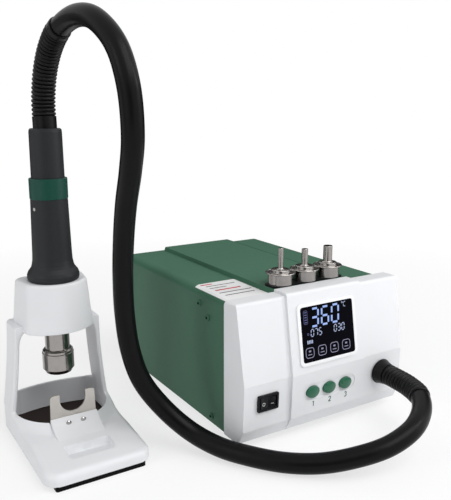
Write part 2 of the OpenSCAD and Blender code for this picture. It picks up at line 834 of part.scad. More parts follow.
module air_duct() {
  y1 = blower_y - blower_r - outlet_len;
  y2 = -bezel_depth + bezel_wall + lock_t + neck_in + over;
  color("#2a2c2e") placed() translate([port_x, y1, port_z]) rotate([90, 0, 0]) difference() {
    cylinder(h = y1 - y2, r = duct_r);
    translate([0, 0, -over]) cylinder(h = y1 - y2 + 2 * over, r = duct_r - duct_wall);
  }
}

neck_in = 2;
lock_t = 4;
neck_r_port = neck_hole_r - fit_gap;

module boot_lock_nut() {
  color("#1a1b1c") placed() on_lower_face(port_x, port_drop, -bezel_wall - lock_t) difference() {
    cylinder(h = lock_t, r = 12.5, $fn = 6);
    translate([0, 0, -over]) cylinder(h = lock_t + 2 * over, r = neck_r_port);
  }
}

// The port boot: a flange on the bezel, a cone and ribs along the start of the hose
module port_boot() {
  steps = 3 * port_ribs + 5;
  band = 3;
  radii = [for (i = [0 : steps])
    i < 4 ? boot_flange_r - (boot_flange_r - boot_r - 0.4) * i / 4
    : i > steps - band ? boot_r + 0.4
    : i % 3 == 0 ? boot_r - rib_depth : boot_r];
  color("#17181a") placed() {
    skin(tube_rings([port_boot_span[1], port_boot_span[0]], radii, hose_sides));
    on_lower_face(port_x, port_drop, 0) cylinder(h = 2.2, r = boot_flange_r);
    on_lower_face(port_x, port_drop, -bezel_wall - lock_t - neck_in)
      cylinder(h = bezel_wall + lock_t + neck_in + over, r = neck_r_port);
  }
}

module hose() {
  steps = 2 * (port_boot_span[0] - handle_boot_span[1]);
  color("#111213") placed()
    skin(tube_rings(hose_span, [for (k = [0 : steps]) hose_d / 2], hose_sides));
}

// The handle boot: a plain sleeve, ribs and an end band
module handle_boot() {
  plain = 6;
  band = 3;
  steps = 3 * handle_ribs + plain + band;
  radii = [for (i = [0 : steps])
    i < plain || i > steps - band ? boot_r
    : i % 3 == 0 ? boot_r - rib_depth : boot_r];
  color("#17181a") placed() skin(tube_rings(handle_boot_span, radii, hose_sides));
}

// Nozzles and their rack

rack_y = 10.5;
rack_t = 2;
rack_z = case_top + plateau_rise;
peg_h = 6;
rack_w = band_w - 4;
rack_d = 15;

// The rack's screws stand behind the gaps between the cups
module rack_screw_places() {
  for (x = [-0.5, 0.5] * nozzle_pitch) translate([x, rack_y + 4.4, rack_z]) children();
}

module nozzle_rack() {
  color("#1d1e20") placed() difference() {
    union() {
      translate([0, rack_y, rack_z]) linear_extrude(rack_t) polygon(round_rect(rack_w, rack_d, 2));
      for (i = [-1 : 1]) translate([i * nozzle_pitch, rack_y, rack_z + rack_t])
        cylinder(h = peg_h, r = cup_r - cup_wall - loose_gap);
    }
    rack_screw_places() cylinder(h = 4 * rack_t, r = screw_r + run_gap, center = true);
  }
}

// One nozzle standing on its cup, at z = 0
module nozzle(outlet, height) {
  plate_t = 1.2;
  step_r = 8.6;
  step_h = 2.4;
  lobe = 0.45;
  tube_t = 0.6;
  rim = cup_r + 1.75;
  difference() {
    union() {
      cylinder(h = cup_h, r = cup_r);
      translate([0, 0, cup_h]) linear_extrude(plate_t)
        polygon([for (a = [0 : 5 : 355]) (rim + lobe * cos(6 * a + 180)) * [cos(a), sin(a)]]);
      translate([0, 0, cup_h + plate_t]) cylinder(h = step_h, r = step_r);
      translate([0, 0, cup_h + plate_t + step_h])
        cylinder(h = 2, r1 = outlet + 2, r2 = outlet);
      cylinder(h = height, r = outlet);
    }
    translate([0, 0, -over]) cylinder(h = cup_h + over, r = cup_r - cup_wall);
    cylinder(h = cup_h + plate_t + step_h - tube_t, r = step_r - tube_t);
    cylinder(h = height + over, r = outlet - tube_t);
  }
}

module spare_nozzle(i) {
  color("#b5b2ac") placed()
    translate([(i - 1) * nozzle_pitch, rack_y, rack_z + rack_t]) nozzle(outlet_r[i], nozzle_h[i]);
}

// Handle, drawn around its own axis with z = 0 at the flange's underside

module on_handle() {
  placed() translate([stand_x, stand_y, collar_top]) children();
}

spigot_r = 19;
spigot_h = 8;
bore_r = spigot_r + 0.5;
ring_z = grip_h;
neck_z = ring_z + ring_h;
handle_top = neck_z + neck_h;
joint_r = grip_top_r - grip_wall;

// Outline of the grip from the flange up, as radius and height
function grip_outline(d) = [
  [flange_r - 1.6 - d, 0], [flange_r - 0.5 - d, 1], [flange_r - d, 3],
  [flange_r - 0.15 - d, 5.5], [flange_r - 1.1 - d, 8], [flange_r - 2.6 - d, 10],
  [flange_r - 3.8 - d, 11.6], [grip_low_r + 1 - d, 14], [grip_low_r + 0.3 - d, 18],
  [grip_low_r - d, 24], [grip_top_r - d, grip_h]
];

module handle_lower() {
  color("#2c2e31") on_handle() difference() {
    rotate_extrude() polygon(concat(
      [[0, 0]], grip_outline(0), [[0, grip_h]]));
    rotate_extrude() polygon(concat(
      [[0, grip_wall], [flange_r - grip_wall - 1, grip_wall]],
      [for (p = grip_outline(grip_wall)) if (p[1] > grip_wall && p[1] < grip_h) p],
      [[joint_r, grip_h], [joint_r, grip_h + over], [0, grip_h + over]]));
    translate([0, 0, -over]) cylinder(h = grip_wall + 2 * over, r = tube_r + fit_gap);
    handle_screw_places() cylinder(h = 3 * grip_wall, r = screw_r + run_gap, center = true);
  }
  color("#2c2e31") on_handle() translate([0, 0, -spigot_h]) difference() {
    cylinder(h = spigot_h, r = spigot_r);
    translate([0, 0, -over]) cylinder(h = spigot_h + 2 * over, r = spigot_r - 2);
  }
}

module handle_screw_places() {
  for (a = [200, 340]) rotate(a) translate([grip_top_r + 0.1, 0, grip_h - 8]) rotate([0, 90, 0])
    children();
}

module handle_screws() {
  color("#3a3d40") on_handle() handle_screw_places() translate([0, 0, -1.2])
    cylinder(h = 1.2, r = screw_r);
}

module handle_ring() {
  color("#1f5443") on_handle() translate([0, 0, ring_z]) difference() {
    rotate_extrude() polygon([[0, 0], [grip_top_r + ring_proud - 0.4, 0],
      [grip_top_r + ring_proud, 0.4], [grip_top_r + ring_proud, ring_h - 0.4],
      [grip_top_r + ring_proud - 0.4, ring_h], [0, ring_h]]);
    translate([0, 0, -over]) cylinder(h = ring_h + 2 * over, r = joint_r);
  }
}

module handle_upper() {
  color("#2c2e31") on_handle() translate([0, 0, neck_z]) difference() {
    rotate_extrude() polygon([[0, 0], [neck_r, 0], [neck_r, 1], [top_r + 0.1, neck_h - 3],
      [top_r - 0.2, neck_h - 1], [top_r - 1.2, neck_h], [0, neck_h]]);
    translate([0, 0, -over]) cylinder(h = neck_h - grip_wall + over, r = top_r - grip_wall);
    cylinder(h = neck_h + over, r = hose_d / 2 - 2);
  }
}

socket_r = cup_r + 0.1;
socket_h = 9;
lower_ring_h = 3;
tube_low = -tube_drop + socket_h;
tube_high = 16;
tube_flange_r = 17;
tube_flange_t = 1.5;

// The tube hangs by its flange on the floor of the grip
module heater_tube() {
  color("#b5b2ac") on_handle() difference() {
    union() {
      translate([0, 0, tube_low]) cylinder(h = tube_high - tube_low, r = tube_r);
      translate([0, 0, grip_wall]) cylinder(h = tube_flange_t, r = tube_flange_r);
    }
    translate([0, 0, tube_low - over])
      cylinder(h = tube_high - tube_low + 2 * over, r = tube_r - tube_wall);
  }
}

module nozzle_collar() {
  color("#a9a6a0") on_handle() translate([0, 0, -tube_drop]) difference() {
    rotate_extrude() polygon([[0, 0], [nut_r - 2.6, 0], [nut_r - 0.9, lower_ring_h],
      [nut_r, lower_ring_h + 1], [nut_r, nut_h - 3.5], [nut_r - 0.6, nut_h - 3],
      [nut_r - 0.6, nut_h - 1.2], [nut_r - 1.8, nut_h], [0, nut_h]]);
    translate([0, 0, -over]) cylinder(h = nut_h + 2 * over, r = tube_r);
    translate([0, 0, -over]) cylinder(h = socket_h + over, r = socket_r);
  }
}

mica_t = 0.4;
core_r = tube_r - tube_wall - mica_t - run_gap;
core_low = tube_low + 8;
core_h = 60;

module mica_sleeve() {
  r = tube_r - tube_wall;
  color("#d9cfa8") on_handle() translate([0, 0, core_low]) difference() {
    cylinder(h = core_h, r = r);
    translate([0, 0, -over]) cylinder(h = core_h + 2 * over, r = r - mica_t);
  }
}

module heater_core() {
  channels = 6;
  color("#efe9dc") on_handle() translate([0, 0, core_low]) difference() {
    cylinder(h = core_h, r = core_r);
    for (k = [0 : channels - 1]) rotate(k * 360 / channels) translate([core_r * 0.62, 0, -over])
      cylinder(h = core_h + 2 * over, r = 1.7);
    translate([0, 0, -over]) cylinder(h = core_h + 2 * over, r = probe_r + run_gap);
  }
}

probe_r = 1.2;

module thermocouple() {
  color("#c9ccd0") on_handle() translate([0, 0, core_low - 3]) cylinder(h = core_h + 6, r = probe_r);
}

// Stand, drawn around the handle's axis

module on_stand() {
  placed() translate([stand_x, stand_y, 0]) children();
}

plan_r = 12;
top_edge_r = 4;
leg_y1 = -7;
leg_y2 = leg_y1 + leg_depth;
ramp_y = -49;
nose_r = 4;

// Height of the base's top along Y: round nose, ramp, upward sweep, legs, wall behind the well
function base_top(y) =
  let (nose = -stand_front + nose_r)
    y < nose ? nose_h - nose_r + sqrt(max(nose_r * nose_r - (nose - y) * (nose - y), 0))
    : y < ramp_y ? nose_h + (ramp_h - nose_h) * (y - nose) / (ramp_y - nose)
    : y < leg_y1 ? ramp_h + (sweep_h - ramp_h) * pow((y - ramp_y) / (leg_y1 - ramp_y), 2)
    : y <= leg_y2 + 1 ? sweep_h
    : back_h;

// Half width of the base along Y, with round corners in plan
function base_half(y) =
  let (end = min(y + stand_front, stand_rear - y), g = max(plan_r - end, 0))
    stand_w / 2 - plan_r + sqrt(max(plan_r * plan_r - g * g, 0));

function base_section(y, n = 4) =
  let (w = base_half(y), top = base_top(y), r = top_edge_r)
    concat(
      [[w, y, strip_h], [-w, y, strip_h]],
      [for (k = [0 : n]) [-w + r - r * cos(90 * k / n), y, top - r + r * sin(90 * k / n)]],
      [for (k = [0 : n]) [w - r + r * sin(90 * k / n), y, top - r + r * cos(90 * k / n)]]
    );

base_stations = concat(
  [for (k = [0 : 3]) -stand_front + nose_r * (1 - cos(30 * k))],
  [-stand_front + plan_r / 2, -stand_front + plan_r],
  [for (k = [0 : 5]) ramp_y + (leg_y1 - ramp_y) * k / 5],
  [leg_y2 + 1, leg_y2 + 1.5],
  [for (k = [1 : 3]) stand_rear - plan_r * (1 - sin(30 * k))]
);

seat_y = -35;
seat_front = -54;
seat_top = 29;
fork_t = 1.2;
fork_screw_x = 6.5;
fork_screw_z = 25;

// Front of the well is round, its back is bowed with round corners
function well_outline(r) = concat(
  [for (a = [180 : 9 : 360]) r * [cos(a), sin(a)]],
  rounded([[r, stand_rear - 10], [r, stand_rear - 6], [0, stand_rear - 4 + (r - well_r)],
           [-r, stand_rear - 6], [-r, stand_rear - 10]], [0, 3.5, 0, 3.5, 0])
);

collar_low = collar_top - collar_h;

collar_wall = 2.8;
// Half width at the rear, half width at the front corners, front and rear, each as [low, top]
collar_rear_half = [35.5, 32];
collar_front_half = [30, 27];
collar_front = [-28, -24];
collar_rear = [26, 22.5];
collar_bow = 15;

// Outline of the collar at one height: round rear corners, sides that close in, a bowed front
function collar_outline(t) =
  let (chord = collar_front_half * [1 - t, t], front = collar_front * [1 - t, t],
       rear = collar_rear * [1 - t, t], half = collar_rear_half * [1 - t, t],
       arc_r = (chord * chord + collar_bow * collar_bow) / (2 * collar_bow),
       turn = asin(chord / arc_r))
    rounded(concat(
      [[half, rear], [-half, rear]],
      [for (k = [0 : 8]) let (a = -turn + 2 * turn * k / 8)
        [arc_r * sin(a), front + arc_r * (1 - cos(a))]]
    ), concat([10, 10, 4], [for (k = [1 : 7]) 0], [4]), 4);

function collar_ring(z, d) = [
  for (p = inset(collar_outline((z - collar_low) / collar_h), d)) [p[0], p[1], z]
];

module collar_form() {
  skin([collar_ring(collar_low, 0), collar_ring(collar_top - 2, 0),
        collar_ring(collar_top - 0.6, 0.6), collar_ring(collar_top, 2)]);
}

module stand_collar() {
  color("#e6e7e8") on_stand() difference() {
    collar_form();
    skin([collar_ring(collar_low - over, collar_wall), collar_ring(collar_top - 3.5, collar_wall)]);
    translate([0, 0, collar_low]) cylinder(h = 2 * collar_h, r = bore_r);
  }
}

leg_low = 26;
shoulder = collar_low + 5.5;
leg_lean = 6.5;
leg_fillet = [5, 12];

// How far the leg leans in, from 0 at its foot to leg_lean at its shoulder: a flare, then upright
function leg_in(z) = leg_lean * (1 - pow(1 - (z - leg_low) / (shoulder - leg_low), 2.2));

// One leg seen from the front: a thin curved plate with a round shoulder into the collar
function leg_outline() =
  let (w = stand_w / 2, top = w - leg_lean, steps = 7, rise = (shoulder - 10 - leg_low) / steps,
       last = leg_low + steps * rise)
    concat(
      [for (k = [0 : steps]) [w - leg_in(leg_low + k * rise), leg_low + k * rise]],
      arc_corner([w - leg_in(last), last], [top, shoulder], [top - 12, shoulder], 4, 4),
      [[top - 8, shoulder], [top - leg_t - leg_fillet[0], collar_low + 1]],
      [for (k = [0 : 5]) let (a = 90 * k / 5)
        [top - leg_t - leg_fillet[0] * (1 - sin(a)), collar_low + 0.6 - leg_fillet[1] * (1 - cos(a))]],
      [for (k = [steps - 1 : -1 : 0]) [w - leg_t - leg_in(leg_low + k * rise), leg_low + k * rise]]
    );

module stand_legs() {
  color("#e6e7e8") on_stand() difference() {
    for (side = [0, 1])
      mirror([side, 0, 0]) along_y(leg_y1, leg_y2) polygon(leg_outline());
    collar_form();
  }
}

// The finger slot in the ramp, deepest at its back
slot_w = 38;
slot_front = -84;
slot_back = -66;
slot_depth = 6.5;

module stand_base() {
  color("#e6e7e8") on_stand() {
    difference() {
      skin([for (y = base_stations) base_section(y)]);
      translate([0, 0, well_floor]) linear_extrude(2 * sweep_h) polygon(well_outline(well_r));
      along_x(slot_w) polygon([[slot_front, base_top(slot_front) + 0.4],
                               [slot_back, base_top(slot_back) + over],
                               [slot_back, base_top(slot_back) - slot_depth]]);
      translate([0, 0, strip_h - over]) linear_extrude(plate_t + over)
        polygon(base_plate_outline(0));
      for (side = [-1, 1])
        translate([side * (stand_w / 2 - leg_t - run_gap) - (side < 0 ? stand_w : 0),
                   leg_y1 - run_gap, leg_low])
          cube([stand_w, leg_depth + 2 * run_gap, 2 * sweep_h]);
    }
    difference() {
      along_x(fork_w) polygon([[seat_front, base_top(seat_front) - 2], [seat_y, well_floor - 2],
                               [seat_y, seat_top], [seat_front, base_top(seat_front)]]);
      fork_screw_places() cylinder(h = 60, r = 1.25 + run_gap, center = true);
      fork_screw_places() translate([0, 0, 6]) cylinder(h = 30, r = 2.6);
    }
  }
}

plate_t = 1.5;

function base_plate_outline(d) =
  inset([[-stand_w / 2 + 4, -stand_front + 4], [stand_w / 2 - 4, -stand_front + 4],
         [stand_w / 2 - 4, stand_rear - 4], [-stand_w / 2 + 4, stand_rear - 4]], d);

module stand_base_plate() {
  color("#55595c") on_stand() translate([0, 0, strip_h]) linear_extrude(plate_t)
    polygon(rounded(base_plate_outline(fit_gap), [8, 8, 8, 8]));
}

strip_w = 70;
strip_d = 9;

module stand_strips() {
  color("#111213") on_stand()
    for (y = [-stand_front + 2 + strip_d / 2, stand_rear - 6 - strip_d / 2])
      translate([0, y, 0]) linear_extrude(strip_h) polygon(round_rect(strip_w, strip_d, 2));
}

pad_t = 2;

module well_pad() {
  color("#2b2320") on_stand() translate([0, 0, well_floor]) difference() {
    linear_extrude(pad_t) polygon(well_outline(well_r - 0.5));
    translate([-fork_w / 2 - 1, seat_front, -over])
      cube([fork_w + 2, seat_y + fork_t + 1 - seat_front, pad_t + 2 * over]);
  }
}

module fork_screw_places() {
  for (x = [-1, 1] * fork_screw_x)
    translate([x, seat_y, fork_screw_z]) rotate([90, 0, 0]) children();
}

module nozzle_fork() {
  z1 = well_floor + 6;
  z2 = seat_top + fork_rise;
  r = notch_w / 2;
  color("#b3ada4") on_stand() difference() {
    along_y(seat_y, seat_y + fork_t) difference() {
      polygon(rounded([[-fork_w / 2, z1], [fork_w / 2, z1], [fork_w / 2 - 1, z2],
                       [-fork_w / 2 + 1, z2]], [1, 1, 3, 3]));
      translate([0, seat_top + 3.5 + r]) circle(r = r);
      translate([-r, seat_top + 3.5 + r]) square([notch_w, fork_rise]);
    }
    fork_screw_places() cylinder(h = 60, r = 1.25 + run_gap, center = true);
  }
}

module fork_screws() {
  color("#8f9296") on_stand() fork_screw_places() translate([0, 0, 6])
    pan_screw(2.3, 1.4, 1.25, 6 + fork_t);
}

top_cover();
base_pan();
rear_panel();
front_bezel();
display_frame();
display_glass();
display_module();
control_board();
tact_switches();
button(-1);  // button_1
button(0);  // button_2
button(1);  // button_3
switch_housing();
switch_rocker();
mains_inlet();
power_board();
transformer();
heat_sink();
blower_housing();
blower_impeller();
impeller_shaft();
blower_motor();
air_duct();
boot_lock_nut();
rubber_feet();
cover_screws();
panel_screws();
nozzle_rack();
spare_nozzle(0);  // nozzle_small
spare_nozzle(1);  // nozzle_medium
spare_nozzle(2);  // nozzle_large
port_boot();
hose();
handle_boot();
handle_upper();
handle_ring();
handle_lower();
handle_screws();
heater_tube();
nozzle_collar();
heater_core();
mica_sleeve();
thermocouple();
stand_base();
stand_legs();
stand_collar();
stand_base_plate();
stand_strips();
well_pad();
nozzle_fork();
fork_screws();
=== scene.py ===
"""The finished surfaces, materials, light and camera of a hot-air rework station."""
import json
import math

import bpy
import numpy as np
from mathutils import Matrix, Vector


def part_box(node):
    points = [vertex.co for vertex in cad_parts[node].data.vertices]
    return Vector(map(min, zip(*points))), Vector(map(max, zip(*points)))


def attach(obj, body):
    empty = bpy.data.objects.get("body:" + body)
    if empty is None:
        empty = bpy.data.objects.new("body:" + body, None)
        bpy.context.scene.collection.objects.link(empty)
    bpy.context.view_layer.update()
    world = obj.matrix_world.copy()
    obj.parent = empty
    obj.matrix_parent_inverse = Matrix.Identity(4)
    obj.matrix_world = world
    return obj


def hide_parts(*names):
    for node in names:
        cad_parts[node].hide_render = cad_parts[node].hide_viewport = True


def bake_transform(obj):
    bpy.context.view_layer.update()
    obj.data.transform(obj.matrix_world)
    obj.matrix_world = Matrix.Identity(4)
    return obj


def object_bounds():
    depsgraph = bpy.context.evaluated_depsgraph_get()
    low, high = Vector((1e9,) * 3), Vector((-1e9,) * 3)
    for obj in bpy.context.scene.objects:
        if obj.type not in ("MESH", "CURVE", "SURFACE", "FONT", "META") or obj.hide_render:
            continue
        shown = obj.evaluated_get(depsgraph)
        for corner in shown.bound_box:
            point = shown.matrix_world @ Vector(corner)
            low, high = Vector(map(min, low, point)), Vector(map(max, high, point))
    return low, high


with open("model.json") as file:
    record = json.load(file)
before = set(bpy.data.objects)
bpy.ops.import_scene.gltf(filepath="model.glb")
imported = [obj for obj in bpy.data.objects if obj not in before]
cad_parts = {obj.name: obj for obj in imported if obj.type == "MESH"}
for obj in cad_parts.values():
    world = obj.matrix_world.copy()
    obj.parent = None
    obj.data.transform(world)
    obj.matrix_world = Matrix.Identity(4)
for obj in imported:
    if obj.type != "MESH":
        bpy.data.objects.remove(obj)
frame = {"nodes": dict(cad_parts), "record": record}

bl_info = {
    "name": "Hot Air Station",
    "version": (1, 0, 0),
    "blender": (4, 5, 0),
    "location": "3D View > Sidebar > Station",
    "description": "Builds the finished surfaces of a hot-air rework station round its fixed frame",
    "category": "Object",
}

NODES = frame["nodes"]
CAD_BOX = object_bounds()
MM = 0.001
VIEW_TURN = 31.85

# The part's frame, measured on the cover: the station's middle, and the rear edge of its bezel
CASE_LENGTH = 214 * MM
COVER_LOW, COVER_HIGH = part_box("top_cover")
STATION_ORIGIN = np.array([(COVER_LOW.x + COVER_HIGH.x) / 2, COVER_HIGH.y - CASE_LENGTH, 0])
TUBE_LOW, TUBE_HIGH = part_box("heater_tube")
CASE_HALF = (COVER_HIGH.x - COVER_LOW.x) / 2
STAND_AXIS = np.array([(TUBE_LOW.x + TUBE_HIGH.x) / 2, (TUBE_LOW.y + TUBE_HIGH.y) / 2, 0])

# The hose's route in the station's own millimetres, from the handle's top to the port
ROUTE = [
    [-206, 104, 274], [-206, 104, 297], [-205, 98, 320], [-203, 86, 339], [-200, 69, 352],
    [-196, 42, 358], [-192, 15, 353], [-187, -9, 334], [-184, -21, 306], [-181, -19, 273],
    [-178, -6, 246], [-175, 11, 219], [-172, 25, 190], [-170, 34, 158], [-168, 38, 124],
    [-165, 36, 92], [-157, 32, 63], [-142, 22, 38], [-125, 5, 19], [-110, -18, 10.5],
    [-95, -42, 9], [-77, -65, 9], [-56, -84, 11], [-34, -100, 17], [-9, -112, 25],
    [17, -113, 33], [40, -102, 38], [57, -85, 41], [64, -66, 42.2], [66, -47, 42.8],
    [66, -28.2, 43.4],
]
# Stretches of the route, counted in its points
HANDLE_BOOT_SPAN, HOSE_SPAN, PORT_BOOT_SPAN = (0, 4), (4, 27), (27, 30)

# The bezel from the side, in the station's millimetres: the crease between its faces, its top and its foot
CREASE, BEZEL_TOP, BEZEL_FOOT = np.array([[0, -27.8, 62.3], [0, -16.4, 132], [0, -26.3, 21]])
LEAN = math.atan2(BEZEL_TOP[1] - CREASE[1], BEZEL_TOP[2] - CREASE[2])
TUCK = math.atan2(CREASE[1] - BEZEL_FOOT[1], CREASE[2] - BEZEL_FOOT[2])

# The raised panel of the cover: half its width and its height above the table, in millimetres
PLATEAU_HALF, PLATEAU_TOP = 42, 133.5

# The cover's screws on each side: distance behind the bezel and height, in millimetres
SCREWS = [(30, 12.9), (184, 12.9), (51, 116), (36, 106)]

# The stand, in millimetres round the handle's axis
STAND_HALF, STAND_FRONT, STAND_REAR = 45, -101, 36
COLLAR_LOW, COLLAR_TOP, COLLAR_WALL, COLLAR_BORE = 100.5, 143.5, 2.8, 19.5
LEG_LOW, LEG_THICK, LEG_LEAN = 26, 4.2, 6.8
LEG_FRONT_LOW, LEG_FRONT_HIGH = -1.5, -6
LEG_REAR_LOW, LEG_REAR_HIGH = 27, 22.7
WELL_RADIUS, WELL_RIM, BOSS_HALF = 41, 26.5, 20.75
SHOULDER = COLLAR_LOW + 5.5


# Settings


def colour_setting(name, description, default):
    return bpy.props.FloatVectorProperty(
        name=name, description=description, default=default, size=3, subtype="COLOR")


class HoseSettings(bpy.types.PropertyGroup):
    """Sizes and colours of the hose and its two boots."""

    diameter: bpy.props.FloatProperty(
        name="Hose Diameter", description="Outer diameter of the hose",
        default=17 * MM, min=0.01, unit="LENGTH")
    boot_radius: bpy.props.FloatProperty(
        name="Boot Radius", description="Radius over the ribs of both boots",
        default=9.9 * MM, unit="LENGTH")
    groove: bpy.props.FloatProperty(
        name="Groove Depth", description="Depth of the grooves between the ribs",
        default=1.5 * MM, unit="LENGTH")
    colour: colour_setting("Hose Colour", "Colour of the smooth hose", (0.0035, 0.0035, 0.004))
    boot_colour: colour_setting("Boot Colour", "Colour of the ribbed boots", (0.004, 0.004, 0.0045))


class FinishSettings(bpy.types.PropertyGroup):
    """Colours of the station's main finishes."""

    cover: colour_setting("Cover Colour", "Powder coat of the sheet-metal cover", (0.05, 0.138, 0.086))
    moulding: colour_setting("Moulding Colour", "White plastic of bezel and stand", (0.76, 0.77, 0.79))
    button: colour_setting("Button Colour", "Green plastic of the buttons", (0.014, 0.118, 0.06))
    ring: colour_setting("Ring Colour", "Green plastic of the handle's ring", (0.005, 0.055, 0.038))
    handle: colour_setting("Handle Colour", "Dark plastic of the handle", (0.017, 0.018, 0.02))


class StageSettings(bpy.types.PropertyGroup):
    """The camera and the light."""

    lens: bpy.props.FloatProperty(
        name="Lens", description="Focal length of the camera in millimetres", default=47.61)
    key: bpy.props.FloatProperty(
        name="Key Light", description="Power of the large softbox", default=14.0, unit="POWER")
    world: bpy.props.FloatProperty(
        name="World Light", description="Strength of the even light from all sides", default=0.45)


# Shader maths


def both_ways(operation):
    """The plain and the reflected method of one operator."""
    return (lambda self, other: self.maths(operation, self, other),
            lambda self, other: self.maths(operation, other, self))


class Value:
    """A shader socket in a Python expression. Each operation adds its Math node."""

    def __init__(self, paint, socket):
        self.paint = paint
        self.socket = socket

    def maths(self, operation, *values, clamp=False):
        settings = {"operation": operation, "use_clamp": clamp}
        return self.paint.node("ShaderNodeMath", settings, dict(enumerate(values)))

    __add__, __radd__ = both_ways("ADD")
    __sub__, __rsub__ = both_ways("SUBTRACT")
    __mul__, __rmul__ = both_ways("MULTIPLY")
    __truediv__, __rtruediv__ = both_ways("DIVIDE")
    __pow__, __rpow__ = both_ways("POWER")

    def clamped(self):
        return self.maths("MULTIPLY", self, 1, clamp=True)


class Nodes:
    """The node tree of a material or of the world."""

    def __init__(self, owner):
        owner.use_nodes = True
        self.tree = owner.node_tree

    def feed(self, socket, value):
        """Links a Value to a socket, or writes a plain number or colour there."""
        if isinstance(value, Value):
            self.tree.links.new(value.socket, socket)
        elif socket.type == "RGBA" and len(value) == 3:
            socket.default_value = (*value, 1)
        else:
            socket.default_value = value

    def node(self, kind, settings=None, inputs=None, output=0):
        """Any node: its type, its settings, which are set first, and the values of its sockets."""
        made = self.tree.nodes.new(kind)
        for key, value in (settings or {}).items():
            if key == "stops":
                ramp = made.color_ramp.elements
                first, *middle, last = value
                for element, (place, colour) in ((ramp[0], first), (ramp[1], last)):
                    element.position = place
                    element.color = (*colour, 1)
                for place, colour in middle:
                    ramp.new(place).color = (*colour, 1)
            else:
                setattr(made, key, value)
        for key, value in (inputs or {}).items():
            self.feed(made.inputs[key], value)
        return Value(self, made.outputs[output])

    def seen(self):
        """1 for rays from the eye, from a mirror or through glass, and 0 for light."""
        rays = [self.node("ShaderNodeLightPath", output=key)
                for key in ("Is Camera Ray", "Is Glossy Ray", "Is Transmission Ray")]
        return (rays[0] + rays[1] + rays[2]).clamped()


class Paint(Nodes):
    """One node material, made from the values that are the same all over it."""

    def __init__(self, name, **uniform):
        self.material = bpy.data.materials.new(name)
        super().__init__(self.material)
        self.shader = self.tree.nodes["Principled BSDF"]
        self.set(**uniform)

    def set(self, **inputs):
        """Feeds the shader's sockets, named with underscores for spaces."""
        for key, value in inputs.items():
            self.feed(self.shader.inputs[key.replace("_", " ").title().replace("Ior", "IOR")], value)
        return self

    def place(self):
        return self.node("ShaderNodeTexCoord", output="Object")

    def along(self, axis):
        """One coordinate of the place on the object."""
        return self.node("ShaderNodeSeparateXYZ", inputs={0: self.place()}, output=axis)

    def noise(self, size, detail=2, stretch=(1, 1, 1), roughness=0.5):
        """Soft noise whose blotches are about size metres wide, stretched along the axes."""
        scale = [1 / s for s in stretch]
        moved = self.node("ShaderNodeMapping", inputs={"Vector": self.place(), "Scale": scale})
        return self.node("ShaderNodeTexNoise", inputs={
            "Vector": moved, "Scale": 1 / size, "Detail": detail, "Roughness": roughness})

    def mix(self, share, first, second):
        """A colour between two colours."""
        return self.node("ShaderNodeMix", {"data_type": "RGBA"}, {0: share, 6: first, 7: second}, output=2)

    def bump(self, height, depth):
        """Turns a height from 0 to 1 into a surface as deep as depth in metres."""
        return self.node("ShaderNodeBump", inputs={"Height": height, "Distance": depth})

    def on(self, *objects):
        """Makes this the only material of each object."""
        for o in objects:
            o.data.materials.clear()
            o.data.materials.append(self.material)
        return self


def shade(colour, factor):
    """A colour made lighter or darker."""
    return tuple(min(1.0, c * factor) for c in colour)


def grained(name, colour, roughness, grain=0.4 * MM, depth=0.02 * MM, tone=0.08, wear=0.06, **uniform):
    """Moulded or coated surface: fine grain in the relief, slow blotches in colour and in gloss."""
    paint = Paint(name, **uniform)
    blotch = paint.noise(22 * MM, detail=3)
    fine = paint.noise(grain, detail=2)
    smudge = paint.noise(9 * MM, detail=4, roughness=0.6)
    return paint.set(
        base_color=paint.mix(blotch, shade(colour, 1 - tone), shade(colour, 1 + tone)),
        roughness=roughness - wear / 2 + smudge * wear,
        normal=paint.bump(fine, depth),
    )


def worked_metal(name, colour, roughness, line, stretch, patch, tones, spread, depth):
    """Bare metal with fine lines one way in relief and gloss, and slow patches of another tone."""
    paint = Paint(name, metallic=1.0)
    lines = paint.noise(line, detail=3, stretch=stretch)
    blotch = paint.noise(patch, detail=3)
    dark, light = tones
    return paint.set(
        base_color=paint.mix(blotch, shade(colour, dark), shade(colour, light)),
        roughness=roughness - spread + lines * (2 * spread),
        normal=paint.bump(lines, depth),
    )


def turned_steel(name, colour, roughness):
    """Steel turned on a lathe: fine rings round the axis."""
    return worked_metal(name, colour, roughness, line=0.12 * MM, stretch=(60, 60, 1), patch=6 * MM,
                        tones=(0.86, 1.08), spread=0.07, depth=0.012 * MM)


def sheet_metal(name, colour, roughness, stretch=(40, 1, 1)):
    """Brushed or rolled sheet: long fine scratches along one axis."""
    return worked_metal(name, colour, roughness, line=0.25 * MM, stretch=stretch, patch=14 * MM,
                        tones=(0.9, 1.06), spread=0.06, depth=0.01 * MM)


# Each slot's finish, filled by the finishes operator
PAINTS = {}


# Surfaces


def unit(v):
    """Vectors of length 1 in the same directions."""
    return v / np.linalg.norm(v, axis=-1, keepdims=True)


def mesh_piece(name, points, faces, body, slot, sharp=None, replaced=()):
    """A finished piece at the origin, riding on its body."""
    mesh = bpy.data.meshes.new(name)
    mesh.from_pydata(points.reshape(-1, 3).tolist(), [], faces)
    mesh.shade_smooth()
    if sharp is not None:
        mesh.set_sharp_from_angle(angle=math.radians(sharp))
    mesh.update()
    piece = bpy.data.objects.new(name, mesh)
    bpy.context.scene.collection.objects.link(piece)
    if body:
        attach(piece, body)
    if slot in PAINTS:
        PAINTS[slot].on(piece)
    if replaced:
        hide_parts(*replaced)
    return piece


